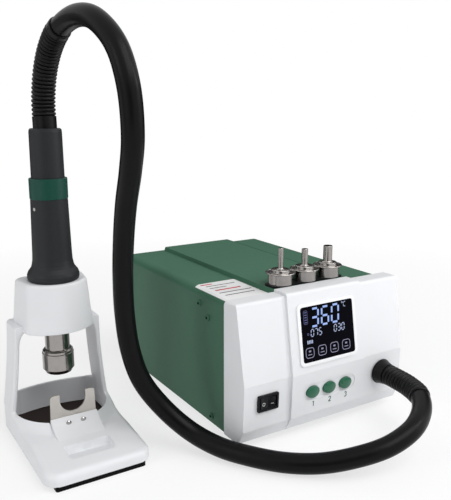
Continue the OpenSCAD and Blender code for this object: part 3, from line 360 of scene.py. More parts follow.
def skin_faces(rows, sides, caps=True, loop=False):
    """Quads between rings that run anticlockwise about their advance, and a fan at each closed end."""
    i, k = np.meshgrid(np.arange(rows if loop else rows - 1), np.arange(sides), indexing="ij")
    j, n = (k + 1) % sides, (i + 1) % rows
    quads = np.stack([i * sides + k, i * sides + j, n * sides + j, n * sides + k], -1)
    faces = quads.reshape(-1, 4).tolist()
    if caps and not loop:
        a = np.arange(sides)
        b = (a + 1) % sides
        first, last = rows * sides, rows * sides + 1
        faces += np.stack([np.full(sides, first), b, a], -1).tolist()
        faces += np.stack([np.full(sides, last), (rows - 1) * sides + a, (rows - 1) * sides + b], -1).tolist()
    return faces


def closed(rings, loop=False):
    """Points and faces of a closed surface: capped at both ends, or joined into a loop."""
    rows, sides = rings.shape[:2]
    points = rings.reshape(-1, 3)
    if not loop:
        points = np.concatenate([points, [rings[0].mean(0), rings[-1].mean(0)]])
    return points, skin_faces(rows, sides, loop=loop)


def skin(name, rings, body, slot, **options):
    """A piece over rings of equally many points, with a pole in the middle of each end."""
    return mesh_piece(name, *closed(rings), body, slot, **options)


def joined_piece(name, parts, body="station", slot=None, **options):
    """One piece from several closed surfaces, each given as its points and faces."""
    points, faces, start = [], [], 0
    for p, f in parts:
        points.append(p)
        faces += [[start + i for i in face] for face in f]
        start += len(p)
    return mesh_piece(name, np.concatenate(points), faces, body, slot, **options)


def level_place(height):
    """A place on a level face of the station: its origin, and the directions across, back and up."""
    return STATION_ORIGIN + np.array([0, 0, height]) * MM, *np.eye(3)


def face_place(up_angle, x, up):
    """A place on one of the bezel's faces: its origin, and the directions across, up and out."""
    across = np.array([1.0, 0, 0])
    rise = np.array([0, math.sin(up_angle), math.cos(up_angle)])
    out = np.array([0, -math.cos(up_angle), math.sin(up_angle)])
    return STATION_ORIGIN + CREASE * MM + (x * across + up * rise) * MM, across, rise, out


def stroke(path, width, low, high, place, loop=False):
    """A flat bar along a path drawn in millimetres on a face, from low to high above it."""
    path = np.asarray(path, float)
    if loop:
        turn = unit(np.roll(path, -1, 0) - np.roll(path, 1, 0))
    else:
        turn = unit(np.gradient(path, axis=0))
    side = np.stack([turn[:, 1], -turn[:, 0]], -1) * width / 2
    right, left = path + side, path - side
    flat = np.stack([right, right, left, left], 1)
    height = np.broadcast_to(np.array([low, high, high, low])[None, :, None], flat.shape[:2] + (1,))
    origin, across, rise, out = place
    rings = origin + (flat[..., :1] * across + flat[..., 1:] * rise + height * out) * MM
    return closed(rings, loop)


def rounded(points, radii, n=6):
    """An outline with its corners replaced by arcs of the given radii, n steps each."""
    p = np.asarray(points, float)
    r = np.broadcast_to(np.asarray(radii, float), len(p))[:, None]
    u, v = unit(np.roll(p, 1, 0) - p), unit(np.roll(p, -1, 0) - p)
    half = np.arccos(np.clip((u * v).sum(-1, keepdims=True), -1, 1)) / 2
    start, end, mid = p + u * r / np.tan(half), p + v * r / np.tan(half), p + unit(u + v) * r / np.sin(half)
    turn = (np.pi - 2 * half)[:, None]
    t = np.linspace(0, 1, n + 1)[None, :, None]
    spin = np.sin(turn * (1 - t)) * (start - mid)[:, None] + np.sin(turn * t) * (end - mid)[:, None]
    return (mid[:, None] + spin / np.sin(turn)).reshape(-1, 2)


def box_outline(w, h, r, n=5):
    """A rectangle round the origin with rounded corners, anticlockwise."""
    return rounded([[-w / 2, -h / 2], [w / 2, -h / 2], [w / 2, h / 2], [-w / 2, h / 2]], r, n)


def circle_outline(r, n=24):
    """Points round a circle about the origin, anticlockwise."""
    a = np.linspace(0, 2 * np.pi, n, endpoint=False)
    return r * np.stack([np.cos(a), np.sin(a)], -1)


def arc(middle, radius, start, stop, steps):
    """Points round a middle from one angle to another, in degrees."""
    a = np.radians(np.linspace(start, stop, steps + 1))
    return middle + radius * np.stack([np.cos(a), np.sin(a)], -1)


def raised(outline, height):
    """A flat outline lifted to one height, or to a height for each of its points."""
    return np.concatenate([outline, np.broadcast_to(height, (len(outline), 1))], -1)


def reach(outline, angles):
    """How far an outline round the origin reaches in each direction."""
    steps = np.linspace(0, 1, 40, endpoint=False)[None, :, None]
    dense = (outline[:, None] * (1 - steps) + np.roll(outline, -1, 0)[:, None] * steps).reshape(-1, 2)
    return np.interp(angles, np.arctan2(dense[:, 1], dense[:, 0]), np.hypot(dense[:, 0], dense[:, 1]),
                     period=2 * np.pi)


def smooth_step(x, start, end):
    """From 0 at the start to 1 at the end, level at both, by 3 t squared less 2 t cubed."""
    t = np.clip((x - start) / (end - start), 0, 1)
    return t * t * (3 - 2 * t)


def route_at(u):
    """The route in metres at places u counted in points: a Catmull-Rom curve, cubic on each stretch, that
    passes each point along the line between its two neighbours."""
    route = np.array(ROUTE, float) * MM + STATION_ORIGIN
    route = np.concatenate([[2 * route[0] - route[1]], route, [2 * route[-1] - route[-2]]])
    i = np.clip(np.floor(u).astype(int), 0, len(ROUTE) - 2)
    t = (u - i)[:, None]
    a, b, c, d = route[i], route[i + 1], route[i + 2], route[i + 3]
    square, cube = 2 * a - 5 * b + 4 * c - d, 3 * b - a - 3 * c + d
    return 0.5 * (2 * b + (c - a) * t + square * t ** 2 + cube * t ** 3)


def even_line(span, step):
    """Points along a stretch of the route, step metres apart."""
    u = np.linspace(span[0], span[1], 1500)
    line = route_at(u)
    run = np.concatenate([[0], np.cumsum(np.linalg.norm(np.diff(line, axis=0), axis=1))])
    count = max(2, int(round(run[-1] / step)))
    return route_at(np.interp(np.linspace(0, run[-1], count + 1), run, u))


def line_frames(line, side):
    """Two directions across a line, square to it and to each other, carried along without twisting."""
    along = unit(np.gradient(line, axis=0))
    across = np.empty_like(along)
    for i, t in enumerate(along):
        side = side - (side @ t) * t
        side = side / np.linalg.norm(side)
        across[i] = side
    return across, np.cross(along, across)


def tube(line, radius, sides):
    """Circles of the given radii round each point of a line, square to it."""
    s, n = line_frames(line, np.array([1, 0.2, 0.1]))
    a = np.linspace(0, 2 * np.pi, sides, endpoint=False)[None, :, None]
    circle = np.cos(a) * s[:, None] + np.sin(a) * n[:, None]
    return line[:, None] + np.asarray(radius)[:, None, None] * circle


# Operators


class STATION_OT_hose(bpy.types.Operator):
    """The smooth hose from the handle's boot to the port's"""

    bl_idname = "station.hose"
    bl_label = "Hose"

    def execute(self, context):
        s = context.scene.station_hose
        line = even_line(HOSE_SPAN, 2.5 * MM)
        hose = skin("air_hose", tube(line, np.full(len(line), s.diameter / 2), 40), None, "hose_black",
                    replaced=["hose"])
        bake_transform(hose)
        paint = Paint("hose_rubber", specular_ior_level=0.1)
        dust = paint.noise(12 * MM, detail=4)
        fine = paint.noise(1.2 * MM, detail=3)
        paint.set(
            base_color=paint.mix(dust, s.colour, shade(s.colour, 1.4)),
            roughness=0.26 + dust * 0.1,
            normal=paint.bump(fine, 0.012 * MM),
        ).on(hose)
        return {"FINISHED"}


class STATION_OT_boots(bpy.types.Operator):
    """The two ribbed rubber boots that the hose runs through"""

    bl_idname = "station.boots"
    bl_label = "Boots"
    step, sides = 0.35 * MM, 48

    def execute(self, context):
        s = context.scene.station_hose
        sleeves = self.handle_sleeve(s), self.port_sleeve(s)
        paint = grained("boot_rubber", s.boot_colour, 0.34, grain=0.6 * MM, depth=0.015 * MM, tone=0.25,
                        specular_ior_level=0.15)
        paint.on(*sleeves)
        return {"FINISHED"}

    @staticmethod
    def ribbed(run, start, stop, ribs, s):
        """Depth of the grooves along the run: a sine to the power 0.7 makes each rib broad and round."""
        phase = np.clip((run - start) / (stop - start), 0, 1) * ribs
        ridge = np.abs(np.sin(np.pi * phase)) ** 0.7
        return s.groove * (1 - ridge) * (phase > 0) * (phase < ribs)

    @staticmethod
    def banded(radius, run, band, outer, tip, rounding):
        """A smooth band from one share of the run to its end, whose tip rounds in."""
        return np.where(run > band, outer, radius) - np.clip((run - tip) / (1 - tip), 0, 1) ** 2 * rounding

    def handle_sleeve(self, s):
        """A plain sleeve, the ribs, and an end band that steps in to the hose."""
        line = even_line(HANDLE_BOOT_SPAN, self.step)
        run = np.linspace(0, 1, len(line))
        plain, band, tip, ribs = 0.11, 0.935, 0.988, 22
        radius = s.boot_radius - self.ribbed(run, plain, band, ribs, s)
        radius = self.banded(radius, run, band, s.boot_radius - 0.3 * MM, tip, 0.5 * MM)
        return skin("handle_sleeve", tube(line, radius, self.sides), "handle", "boot_rubber", sharp=50,
                    replaced=["handle_boot"])

    def port_sleeve(self, s):
        """The flange on the bezel, a cone, the ribs and an end band."""
        line = even_line(PORT_BOOT_SPAN, self.step)[::-1]
        run = np.linspace(0, 1, len(line))
        cone, band, tip, ribs, flange = 0.16, 0.93, 0.97, 11, 12.2 * MM
        slope = np.clip(run / cone, 0, 1) ** 0.7
        radius = flange + (s.boot_radius - flange) * slope - self.ribbed(run, cone, band, ribs, s)
        radius = self.banded(radius, run, band, s.boot_radius - 0.4 * MM, tip, 0.7 * MM)
        return skin("port_sleeve", tube(line, radius, self.sides), "station", "boot_rubber", sharp=50,
                    replaced=["port_boot"])


class STATION_OT_stand(bpy.types.Operator):
    """The moulded stand: collar, legs, and the base with its well, seat and finger slot"""

    bl_idname = "station.stand"
    bl_label = "Stand"
    bow_points = 25

    def execute(self, context):
        self.angles = np.linspace(-np.pi, np.pi, 512, endpoint=False)
        self.collar()
        self.legs()
        self.base()
        self.pad()
        self.strips()
        return {"FINISHED"}

    def collar_ring(self, z):
        """The collar's outline at a height: round rear corners, sides that close in, and a bowed front."""
        corner, softening = 10, 5
        t = (z - COLLAR_LOW) / (COLLAR_TOP - COLLAR_LOW)
        rear_half, front_half = 35.5 - 3.5 * t, 30 - 3 * t
        front, rear, bow = -28 + 4 * t, 26 - 3.5 * t, 15
        radius = (front_half ** 2 + bow ** 2) / (2 * bow)
        spread = math.degrees(math.asin(front_half / radius))
        bowed = arc([0, front + radius], radius, -90 - spread, -90 + spread, 160)
        corners = np.concatenate([[[rear_half, rear], [-rear_half, rear]], bowed])
        radii = np.zeros(len(corners))
        radii[:2] = corner
        return self.softened(reach(rounded(corners, radii, 16), self.angles), softening)

    @staticmethod
    def softened(radii, width):
        """Rounds an outline's corners: each radius becomes the mean of its neighbours under a bell curve."""
        shift = np.arange(-3 * width, 3 * width + 1)
        bell = np.exp(-0.5 * (shift / width) ** 2)
        return sum(b * np.roll(radii, k) for b, k in zip(bell / bell.sum(), shift))

    def collar(self):
        """Up the outside, over a rounded edge to the bore, and down the inside to the rim again."""
        rim, edge, plate, bevel = 1.0, 2.2, 3.5, 0.5
        quarter = np.linspace(0, np.pi / 2, 7)
        straight = np.linspace(COLLAR_LOW + rim, COLLAR_TOP - edge, 12)[1:-1]
        outer_z = np.concatenate([
            COLLAR_LOW + rim * (1 - np.cos(quarter)), straight, COLLAR_TOP - edge + edge * np.sin(quarter)])
        outer_in = np.concatenate([rim * (1 - np.sin(quarter)), 0 * straight, edge * (1 - np.cos(quarter))])
        outer = [self.collar_ring(z) - d for z, d in zip(outer_z, outer_in)]
        bore = np.full_like(self.angles, COLLAR_BORE)
        rows = list(zip(outer, outer_z))
        rows += [(outer[-1] * (1 - f) + (bore + bevel) * f, COLLAR_TOP) for f in np.linspace(0, 1, 5)[1:]]
        rows += [(bore, COLLAR_TOP - bevel), (bore, COLLAR_TOP - plate)]
        inner_z = np.linspace(COLLAR_TOP - plate, COLLAR_LOW, 8)
        rows += [(self.collar_ring(z) - COLLAR_WALL, z) for z in inner_z]
        radii, z = (np.array(column) for column in zip(*rows))
        self.turned("collar_shell", radii, z[:, None], loop=True, replaced=["stand_collar"])

    def turned(self, name, radii, z, loop=False, slot="white_moulding", replaced=()):
        """Radii at the stand's angles and their heights, set round the handle's axis."""
        points = np.stack([radii * np.cos(self.angles), radii * np.sin(self.angles), z + 0 * radii], -1)
        shell = closed(STAND_AXIS + points * MM, loop)
        mesh_piece(name, *shell, "station", slot, sharp=50, replaced=replaced)

    def legs(self):
        """Each leg is a rounded bar that leans in and forwards towards its shoulder, arched on its inside."""
        shoulder_round, arch, arch_gap, corner = 2.5, 13, 5, 1.3
        bend = SHOULDER - shoulder_round
        z = np.concatenate([np.linspace(LEG_LOW, bend, 36),
                            bend + shoulder_round * np.sin(np.linspace(0, np.pi / 2, 9))[1:]])
        part = (z - LEG_LOW) / (SHOULDER - LEG_LOW)
        lean = LEG_LEAN * (1 - np.clip(1 - part, 0, 1) ** 1.6)
        over = np.clip((z - bend) / shoulder_round, 0, 1)
        outer = STAND_HALF - lean - shoulder_round * (1 - np.sqrt(1 - over ** 2))
        under = np.clip((z - (SHOULDER - arch - arch_gap)) / arch, 0, 0.999)
        inner = STAND_HALF - LEG_THICK - lean - arch / 2 * (1 - np.sqrt(1 - under ** 2))
        front = LEG_FRONT_LOW + (LEG_FRONT_HIGH - LEG_FRONT_LOW) * part ** 1.5
        rear = LEG_REAR_LOW + (LEG_REAR_HIGH - LEG_REAR_LOW) * part
        parts = []
        for side in (-1, 1):
            bars = zip(outer - inner, rear - front, side * (outer + inner) / 2, (rear + front) / 2, z)
            rings = [raised(box_outline(w, d, min(corner, w * 0.4), 4) + [x, y], h) for w, d, x, y, h in bars]
            parts.append(closed(STAND_AXIS + np.array(rings) * MM))
        joined_piece("leg_pair", parts, slot="white_moulding", sharp=50, replaced=["stand_legs"])

    @staticmethod
    def top(xy):
        """Height of the base: a ramp from the nose, a sweep up to the legs, a bank up to the well's rim."""
        x, y = xy[:, :1], xy[:, 1:]
        nose, bank_run = 14, 10

        def climb(start, run):
            """Share of a climb that is done here, from where it starts and over its run."""
            return np.clip((y - start) / run, 0, 1)

        level = nose + 4.5 * climb(-97, 48) + 9.5 * climb(-49, 48) ** 2.2 + 5.5 * climb(-1, 30)
        away = np.hypot(x, y) - WELL_RADIUS
        bank = np.clip(1 - away / bank_run, 0, 1) ** 2 * smooth_step(np.abs(x), BOSS_HALF - 2, BOSS_HALF + 1)
        return level + bank * np.clip(WELL_RIM - level, 0, None) * (y < 0)

    @staticmethod
    def finger_slot(xy):
        """Depth of the finger slot: steep at its sides and at its rear, and a slope down from its front."""
        x, y = np.abs(xy[:, :1]), xy[:, 1:]
        half, front, rear, wall, depth = 18.6, -84, -66.4, 1, 7
        steep = smooth_step(x, half + wall, half) * smooth_step(y, rear + wall, rear)
        return depth * steep * np.clip((y - front) / 18, 0, 1)

    def rear_wall(self, half, straight, inset):
        """The rear of the base or of the well: a corner at each side and a wall bowed as a parabola."""
        bow, corner = 4, STAND_REAR - inset - 0.2
        across = np.linspace(-1, 1, self.bow_points)[:, None]
        bowed = np.concatenate([-straight * across, STAND_REAR - inset + bow * (1 - across ** 2)], -1)
        return np.concatenate([[[half, corner]], bowed, [[-half, corner]]])

    def outlines(self):
        """Wall and well as points at the stand's angles, and the directions away from the axis."""
        nose_corner, rear_corner, well_corner, r = 12, 9, 8, WELL_RADIUS
        front = [[-STAND_HALF, STAND_FRONT], [STAND_HALF, STAND_FRONT]]
        wall = np.concatenate([front, self.rear_wall(STAND_HALF, straight=33, inset=4)])
        wall_radii = [nose_corner, nose_corner, rear_corner] + [0] * self.bow_points + [rear_corner]
        well = np.concatenate([[[r, 0]], self.rear_wall(r, straight=29, inset=7.2), [[-r, 0]]])
        well_radii = [0.001, well_corner] + [0] * self.bow_points + [well_corner, 0.001]
        well = np.concatenate([arc([0, 0], r, -180, 0, 40), rounded(well, well_radii, 8)])
        away = np.stack([np.cos(self.angles), np.sin(self.angles)], -1)
        self.well = reach(well, self.angles)
        outer = reach(rounded(wall, wall_radii, 10), self.angles)
        return outer[:, None] * away, self.well[:, None] * away, away

    def base(self):
        """Rings from below, up the wall, over the edge, across the top to the well, and down to its floor."""
        foot, chamfer, floor = 4.2, 0.4, 8
        outer, rim, away = self.outlines()
        turn = unit(np.roll(outer, -1, 0) - np.roll(outer, 1, 0))
        inward = np.stack([-turn[:, 1], turn[:, 0]], -1)
        room = np.linalg.norm(outer - rim, axis=1, keepdims=True)
        edge, lip = np.minimum(5, room * 0.55), np.minimum(0.8, room * 0.2)
        wall_top, rim_top = self.top(outer) - edge, self.top(rim)
        rows = [raised(outer + inward * 1.0, foot), raised(outer + inward * 0.3, foot)]
        rows += [raised(outer, (foot + chamfer) * (1 - f) + wall_top * f) for f in np.linspace(0, 1, 8)]
        for q in np.linspace(0, np.pi / 2, 8)[1:]:
            xy = outer + inward * edge * (1 - math.cos(q))
            rows.append(raised(xy, self.top(xy) - edge * (1 - math.sin(q))))
        start, stop = outer + inward * edge, rim + away * lip
        for f in np.linspace(0, 1, 72)[1:]:
            xy = start * (1 - f) + stop * f
            rows.append(raised(xy, self.top(xy) - self.finger_slot(xy)))
        for q in np.linspace(0, np.pi / 2, 5)[1:]:
            rows.append(raised(rim + away * lip * (1 - math.sin(q)), rim_top - lip * (1 - math.cos(q))))
        rows += [raised(rim, (rim_top - lip) * (1 - f) + floor * f) for f in np.linspace(0, 1, 5)[1:]]
        shell = closed(STAND_AXIS + np.array(rows) * MM)
        joined_piece("base_shell", [shell, self.boss()], slot="white_moulding", sharp=40,
                     replaced=["stand_base"])

    @staticmethod
    def boss():
        """The fork's seat: one side outline, hollow towards its foot, carried across the base."""
        side = np.array([[-57, 15], [-35, 6], [-35, 28.4], [-35.8, 28.9], [-37.4, 28.2], [-41, 24.9],
                         [-46, 21.6], [-51.5, 19.2], [-57, 17.6]])
        bevel, end_size = 0.5, 0.97
        x = np.array([-BOSS_HALF, -BOSS_HALF + bevel, BOSS_HALF - bevel, BOSS_HALF])
        size = np.array([end_size, 1, 1, end_size])[:, None, None]
        drawn = side.mean(0) + (side - side.mean(0)) * size
        rings = np.concatenate([np.broadcast_to(x[:, None, None], drawn.shape[:2] + (1,)), drawn], -1)
        return closed(STAND_AXIS + rings * MM)

    def pad(self):
        """The well's rubber pad, a little smaller than the well."""
        low, high = (v.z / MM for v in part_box("well_pad"))
        z = np.array([low, low, high - 0.4, high, high])
        less = np.array([1.0, 0.4, 0.4, 0.8, 1.6])
        self.turned("well_sheet", self.well - less[:, None], z[:, None], slot="pad_brown",
                    replaced=["well_pad"])

    def strips(self):
        """Two rubber strips under the base, at its nose and at its rear, a little smaller where they rest."""
        length, width, corner, bevel, bevel_top, height = 76, 9, 1.5, 1.0, 0.6, 4.6
        parts = []
        for y in (STAND_FRONT + 5, STAND_REAR - 9):
            rings = [raised(box_outline(length - d, width - d, corner, 4) + [0, y], z)
                     for z, d in ((0, bevel), (bevel_top, 0), (height, 0))]
            parts.append(closed(STAND_AXIS + np.array(rings) * MM))
        joined_piece("grip_strips", parts, slot="black_rubber", sharp=40, replaced=["stand_strips"])


class STATION_OT_nozzles(bpy.types.Operator):
    """The three spare nozzles: a cup, a plate with a rolled rim, a pressed step and a drawn tube"""

    bl_idname = "station.nozzles"
    bl_label = "Nozzles"

    def execute(self, context):
        for size, outlet in (("small", 2.35), ("medium", 2.95), ("large", 4.25)):
            self.nozzle(size, outlet)
        return {"FINISHED"}

    def nozzle(self, size, outlet):
        """One closed outline of radius and height, turned about the nozzle's axis."""
        low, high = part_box("nozzle_" + size)
        top = (high.z - low.z) / MM
        axis = np.array([(low.x + high.x) / 2, (low.y + high.y) / 2, low.z])
        cup, cup_top, wall, tube_wall = 11.35, 9.5, 0.7, 0.6
        rim, rim_height, bead = 13.0, 10.1, 0.62
        plate, step, step_top, bend, fillet = 10.5, 8.7, 13.1, 0.6, 1.6
        outside = np.concatenate([
            [[cup, 0], [cup, cup_top - 1], [cup + 0.25, cup_top - 0.25]],
            arc([rim, rim_height], bead, -90, 90, 8),
            [[rim - 0.6, plate], [step + 0.9, plate], [step + 0.2, plate + 0.1], [step, plate + 0.5]],
            arc([step - bend, step_top - bend], bend, 0, 90, 5),
            arc([outlet + fillet, step_top + fillet], fillet, 270, 180, 5),
            [[outlet, top - 0.2], [outlet - 0.15, top]]])
        bore, under, step_bore, cup_bore = outlet - tube_wall, step_top - wall, step - wall, cup - wall
        inside = [[bore, top], [bore, under], [step_bore, under], [step_bore, 9.6], [cup_bore, 9.3],
                  [cup_bore, 0]]
        outline = np.concatenate([outside, inside])
        a = np.linspace(0, 2 * np.pi, 72, endpoint=False)[None]
        r, z = outline[:, :1], outline[:, 1:]
        rings = axis + np.stack([r * np.cos(a), r * np.sin(a), z + 0 * a], -1) * MM
        mesh_piece("spare_" + size, *closed(rings, loop=True), size + "_spare", "nozzle_steel", sharp=35,
                   replaced=["nozzle_" + size])


class STATION_OT_recess_shade(bpy.types.Operator):
    """Painted shade: a small dark disc in the middle of each of the cover's screws, standing in for the shade
    in its drive recess
    """

    bl_idname = "station.sockets"
    bl_label = "Screw Recess Shade"

    def execute(self, context):
        radius, width, low, high = 0.6, 1.1, 1.2, 2.1
        parts = []
        for side in (-1, 1):
            for y, z in SCREWS:
                middle = STATION_ORIGIN + np.array([side * CASE_HALF, y * MM, z * MM])
                place = (middle, np.array([0, -side, 0]), np.array([0, 0, 1.0]), np.array([side, 0, 0]))
                parts.append(stroke(circle_outline(radius, 16), width, low, high, place, loop=True))
        # Near black, painted as the shade inside each screw's drive recess
        paint = grained("recess_shade_black", (0.002, 0.004, 0.003), 0.6, tone=0.1, specular_ior_level=0.02)
        paint.on(joined_piece("screw_recess_shade", parts))
        return {"FINISHED"}


# Bars of a seven-segment digit: where each lies across and up, as shares of its size, and 1 if it is upright
SEGMENTS = {"a": (0.5, 1, 0), "b": (1, 0.75, 1), "c": (1, 0.25, 1), "d": (0.5, 0, 0), "e": (0, 0.25, 1),
            "f": (0, 0.75, 1), "g": (0.5, 0.5, 0)}
DIGITS = {"0": "abcdef", "3": "abcdg", "5": "acdfg", "6": "acdefg", "7": "abc", "C": "adef"}


class STATION_OT_readings(bpy.types.Operator):
    """The lit display: one large number, two small ones, four keys and a few icons"""

    bl_idname = "station.readings"
    bl_label = "Readings"
    layer = (3.15, 3.26)

    def bar(self, start, stop, width):
        return stroke(np.linspace(start, stop, 3), width, *self.layer, self.place)

    def ring(self, outline, middle, width):
        return stroke(outline + middle, width, *self.layer, self.place, loop=True)

    def digits(self, signs, places, up, w, h, thick):
        """Seven-segment digits of a width and a height, slanted a little to the right."""
        slant, gap = 0.08, 0.62
        parts = []
        for sign, x in zip(signs, places):
            for key in DIGITS[sign]:
                u, v, upright = SEGMENTS[key]
                run = (h / 2 if upright else w) / 2 - thick * gap
                middle = np.array([(u - 0.5) * w, (v - 0.5) * h])
                step = np.array([0, run] if upright else [run, 0])
                start, stop = ([x + p[0] + slant * p[1], up + p[1]] for p in (middle - step, middle + step))
                parts.append(self.bar(start, stop, thick))
        return parts

    @staticmethod
    def lit(name, parts, colour, strength):
        """A piece whose glow is a little uneven."""
        paint = Paint(name, roughness=0.5, base_color=(0.01, 0.01, 0.015), emission_strength=strength)
        glow = paint.noise(5 * MM, detail=2)
        paint.set(emission_color=paint.mix(glow, shade(colour, 0.85), colour)).on(joined_piece(name, parts))

    def execute(self, context):
        self.place = face_place(LEAN, -1.2, 33.75)
        big = self.digits("360", (-13, -1.2, 10.4), 14.2, 7.6, 15.6, 1.8)
        small = self.digits("075030", (-16.8, -12.3, -7.8, 9.6, 14.1, 18.6), 0.8, 2.9, 6.2, 0.8)
        small += self.digits("C", [22.2], 20.8, 2.4, 4.2, 0.55)
        small.append(self.ring(circle_outline(0.7, 12), [19.4, 22.6], 0.4))
        small += [self.bar([x - 0.55, -6.8], [x + 0.55, -6.8], 3.0) for x in (-22.6, -20.9, -19.2, -17.5)]
        keys = []
        for x in (-21, -7, 7, 21):
            keys.append(self.ring(box_outline(9.0, 8.8, 2.4), [x, -16.4], 0.6))
            keys.append(self.bar([x - 1.2, -15], [x + 1.2, -15], 1.5))
            keys.append(self.bar([x - 2.2, -18], [x + 2.2, -18], 0.7))
        icons = [self.bar([-24.6, up], [-21.8, up], 1.0) for up in (11, 13.2, 15.4, 17.6, 19.8)]
        icons.append(self.ring(box_outline(4.2, 12, 1.2), [-23.2, 15.4], 0.4))
        icons.append(self.ring(circle_outline(0.9, 12), [-21.6, 0.2], 0.5))
        self.lit("display_big_digits", big, (0.36, 0.52, 1.0), 0.95)
        self.lit("display_small_digits", small, (0.55, 0.64, 0.92), 0.75)
        self.lit("display_keys", keys, (0.34, 0.34, 0.5), 0.75)
        self.lit("display_icons", icons, (0.06, 0.07, 0.22), 0.8)
        return {"FINISHED"}


class STATION_OT_rocker_marks(bpy.types.Operator):
    """A ring on the rocker's sunk half and a dash on its raised half, laid along its two slopes"""

    bl_idname = "station.rocker_marks"
    bl_label = "Rocker Marks"

    def execute(self, context):
        switch_x, drop, depth, tilt = -67, 17.8, 2.5, math.radians(8)
        half_slope, half_x, face = 0.17, 4.1, 4.56
        origin, across, rise, out = face_place(TUCK, switch_x, -drop)
        origin = origin - out * depth * MM

        def leaned(angle):
            """The directions across and out, turned about the rocker's pin."""
            c, s = math.cos(angle), math.sin(angle)
            return c * across + s * out, c * out - s * across

        along, up = leaned(tilt)
        parts = []
        ring, dash = circle_outline(1.35, 20), [[-1.3, 0], [0, 0], [1.3, 0]]
        for side, path, loop in ((-1, ring, True), (1, dash, False)):
            middle = origin + (side * half_x * along + face * up - rise) * MM
            run, normal = leaned(tilt + side * half_slope)
            parts.append(stroke(path, 0.55, -0.3, 0.12, (middle, run, rise, normal), loop))
        paint = grained("rocker_marks", (0.5, 0.5, 0.5), 0.5, tone=0.2)
        paint.on(joined_piece("rocker_marks", parts, "rocker"))
        return {"FINISHED"}


class STATION_OT_numbers(bpy.types.Operator):
    """The plain numbers 1, 2 and 3 below the buttons, drawn as strokes of one width"""

    bl_idname = "station.numbers"
    bl_label = "Numbers"

    def execute(self, context):
        size, width, middle, pitch, up = 1.4, 0.85, 1.4, 19, -31
        bow = arc([0, 0], 0.85, 150, -90, 11)
        tail = [[0.2, -0.4], [-0.95, -1.6], [-0.4, -1.62], [1.0, -1.62]]
        one = [np.array([[-0.6, 1.1], [-0.2, 1.35], [0.1, 1.6]]),
               np.array([[0.1, 1.6], [0.1, 0], [0.1, -1.65]])]
        two = [np.concatenate([arc([0, 0.75], 0.9, 160, -35, 9), tail])]
        three = [bow + [0, 0.8], bow[::-1] * [1, -1] + [0, -0.78]]
        parts = []
        for strokes, x in ((one, -pitch), (two, 0), (three, pitch)):
            place = face_place(TUCK, x + middle, up)
            parts += [stroke(path * size, width, 2.2, 2.36, place) for path in strokes]
        grained("print_green", (0.01, 0.11, 0.06), 0.5, tone=0.2).on(joined_piece("button_numbers", parts))
        return {"FINISHED"}


class STATION_OT_label(bpy.types.Operator):
    """A white sheet on the cover that follows the bend of its edge, with thin ruled lines"""

    bl_idname = "station.label"
    bl_label = "Label"

    def execute(self, context):
        top, bend_from, bend_round = 129.5, -81.5, 7
        x = np.linspace(-86.2, -43.8, 30)
        bend = np.clip(bend_from - x, 0, bend_round)
        z = top - bend_round + np.sqrt(bend_round ** 2 - bend ** 2)
        section = np.concatenate([np.stack([x, z - 0.05], -1), np.stack([x, z + 0.12], -1)[::-1]])
        rings = np.stack([np.insert(section, 1, y, axis=1) for y in (63.4, 40, 20, 1.0)])
        sheet = skin("label_sheet", STATION_ORIGIN + rings * MM, "station", None, sharp=40)
        grained("label_white", (0.86, 0.86, 0.86), 0.4, depth=0.003 * MM, tone=0.02).on(sheet)
        dark = ((20, -80, -49, 1.6), (28.5, -81, -47, 1.6), (45.5, -81, -63, 1.4), (52.5, -81, -50, 1.4))
        red = ((37.5, -80, -53, 2.6), (58.5, -83, -71, 2.2))
        inks = (("label_rules", dark, (0.03, 0.03, 0.032)), ("label_accents", red, (0.6, 0.03, 0.04)))
        for name, rules, colour in inks:
            lines = [stroke(np.linspace([start, y], [stop, y], 3), width, 0.1, 0.18, level_place(top))
                     for y, start, stop, width in rules]
            grained(name, colour, 0.5, tone=0.1).on(joined_piece(name, lines))
        return {"FINISHED"}


class STATION_OT_step_shade(bpy.types.Operator):
    """Painted shade: a dark line along the right edge of the cover's raised panel, standing in for the shade
    of its step down
    """

    bl_idname = "station.seam"
    bl_label = "Cover Step Shade"

    def execute(self, context):
        x, front, rear, width = PLATEAU_HALF - 0.9, 2, 209, 0.7
        line = stroke(np.linspace([x, front], [x, rear], 3), width, -0.3, 0.06, level_place(PLATEAU_TOP))
        # Dark green painted as the shade along the raised panel's step edge
        paint = grained("step_shade_green", (0.012, 0.042, 0.026), 0.5, tone=0.1, specular_ior_level=0.1)
        paint.on(joined_piece("painted_step_shade", [line]))
        return {"FINISHED"}


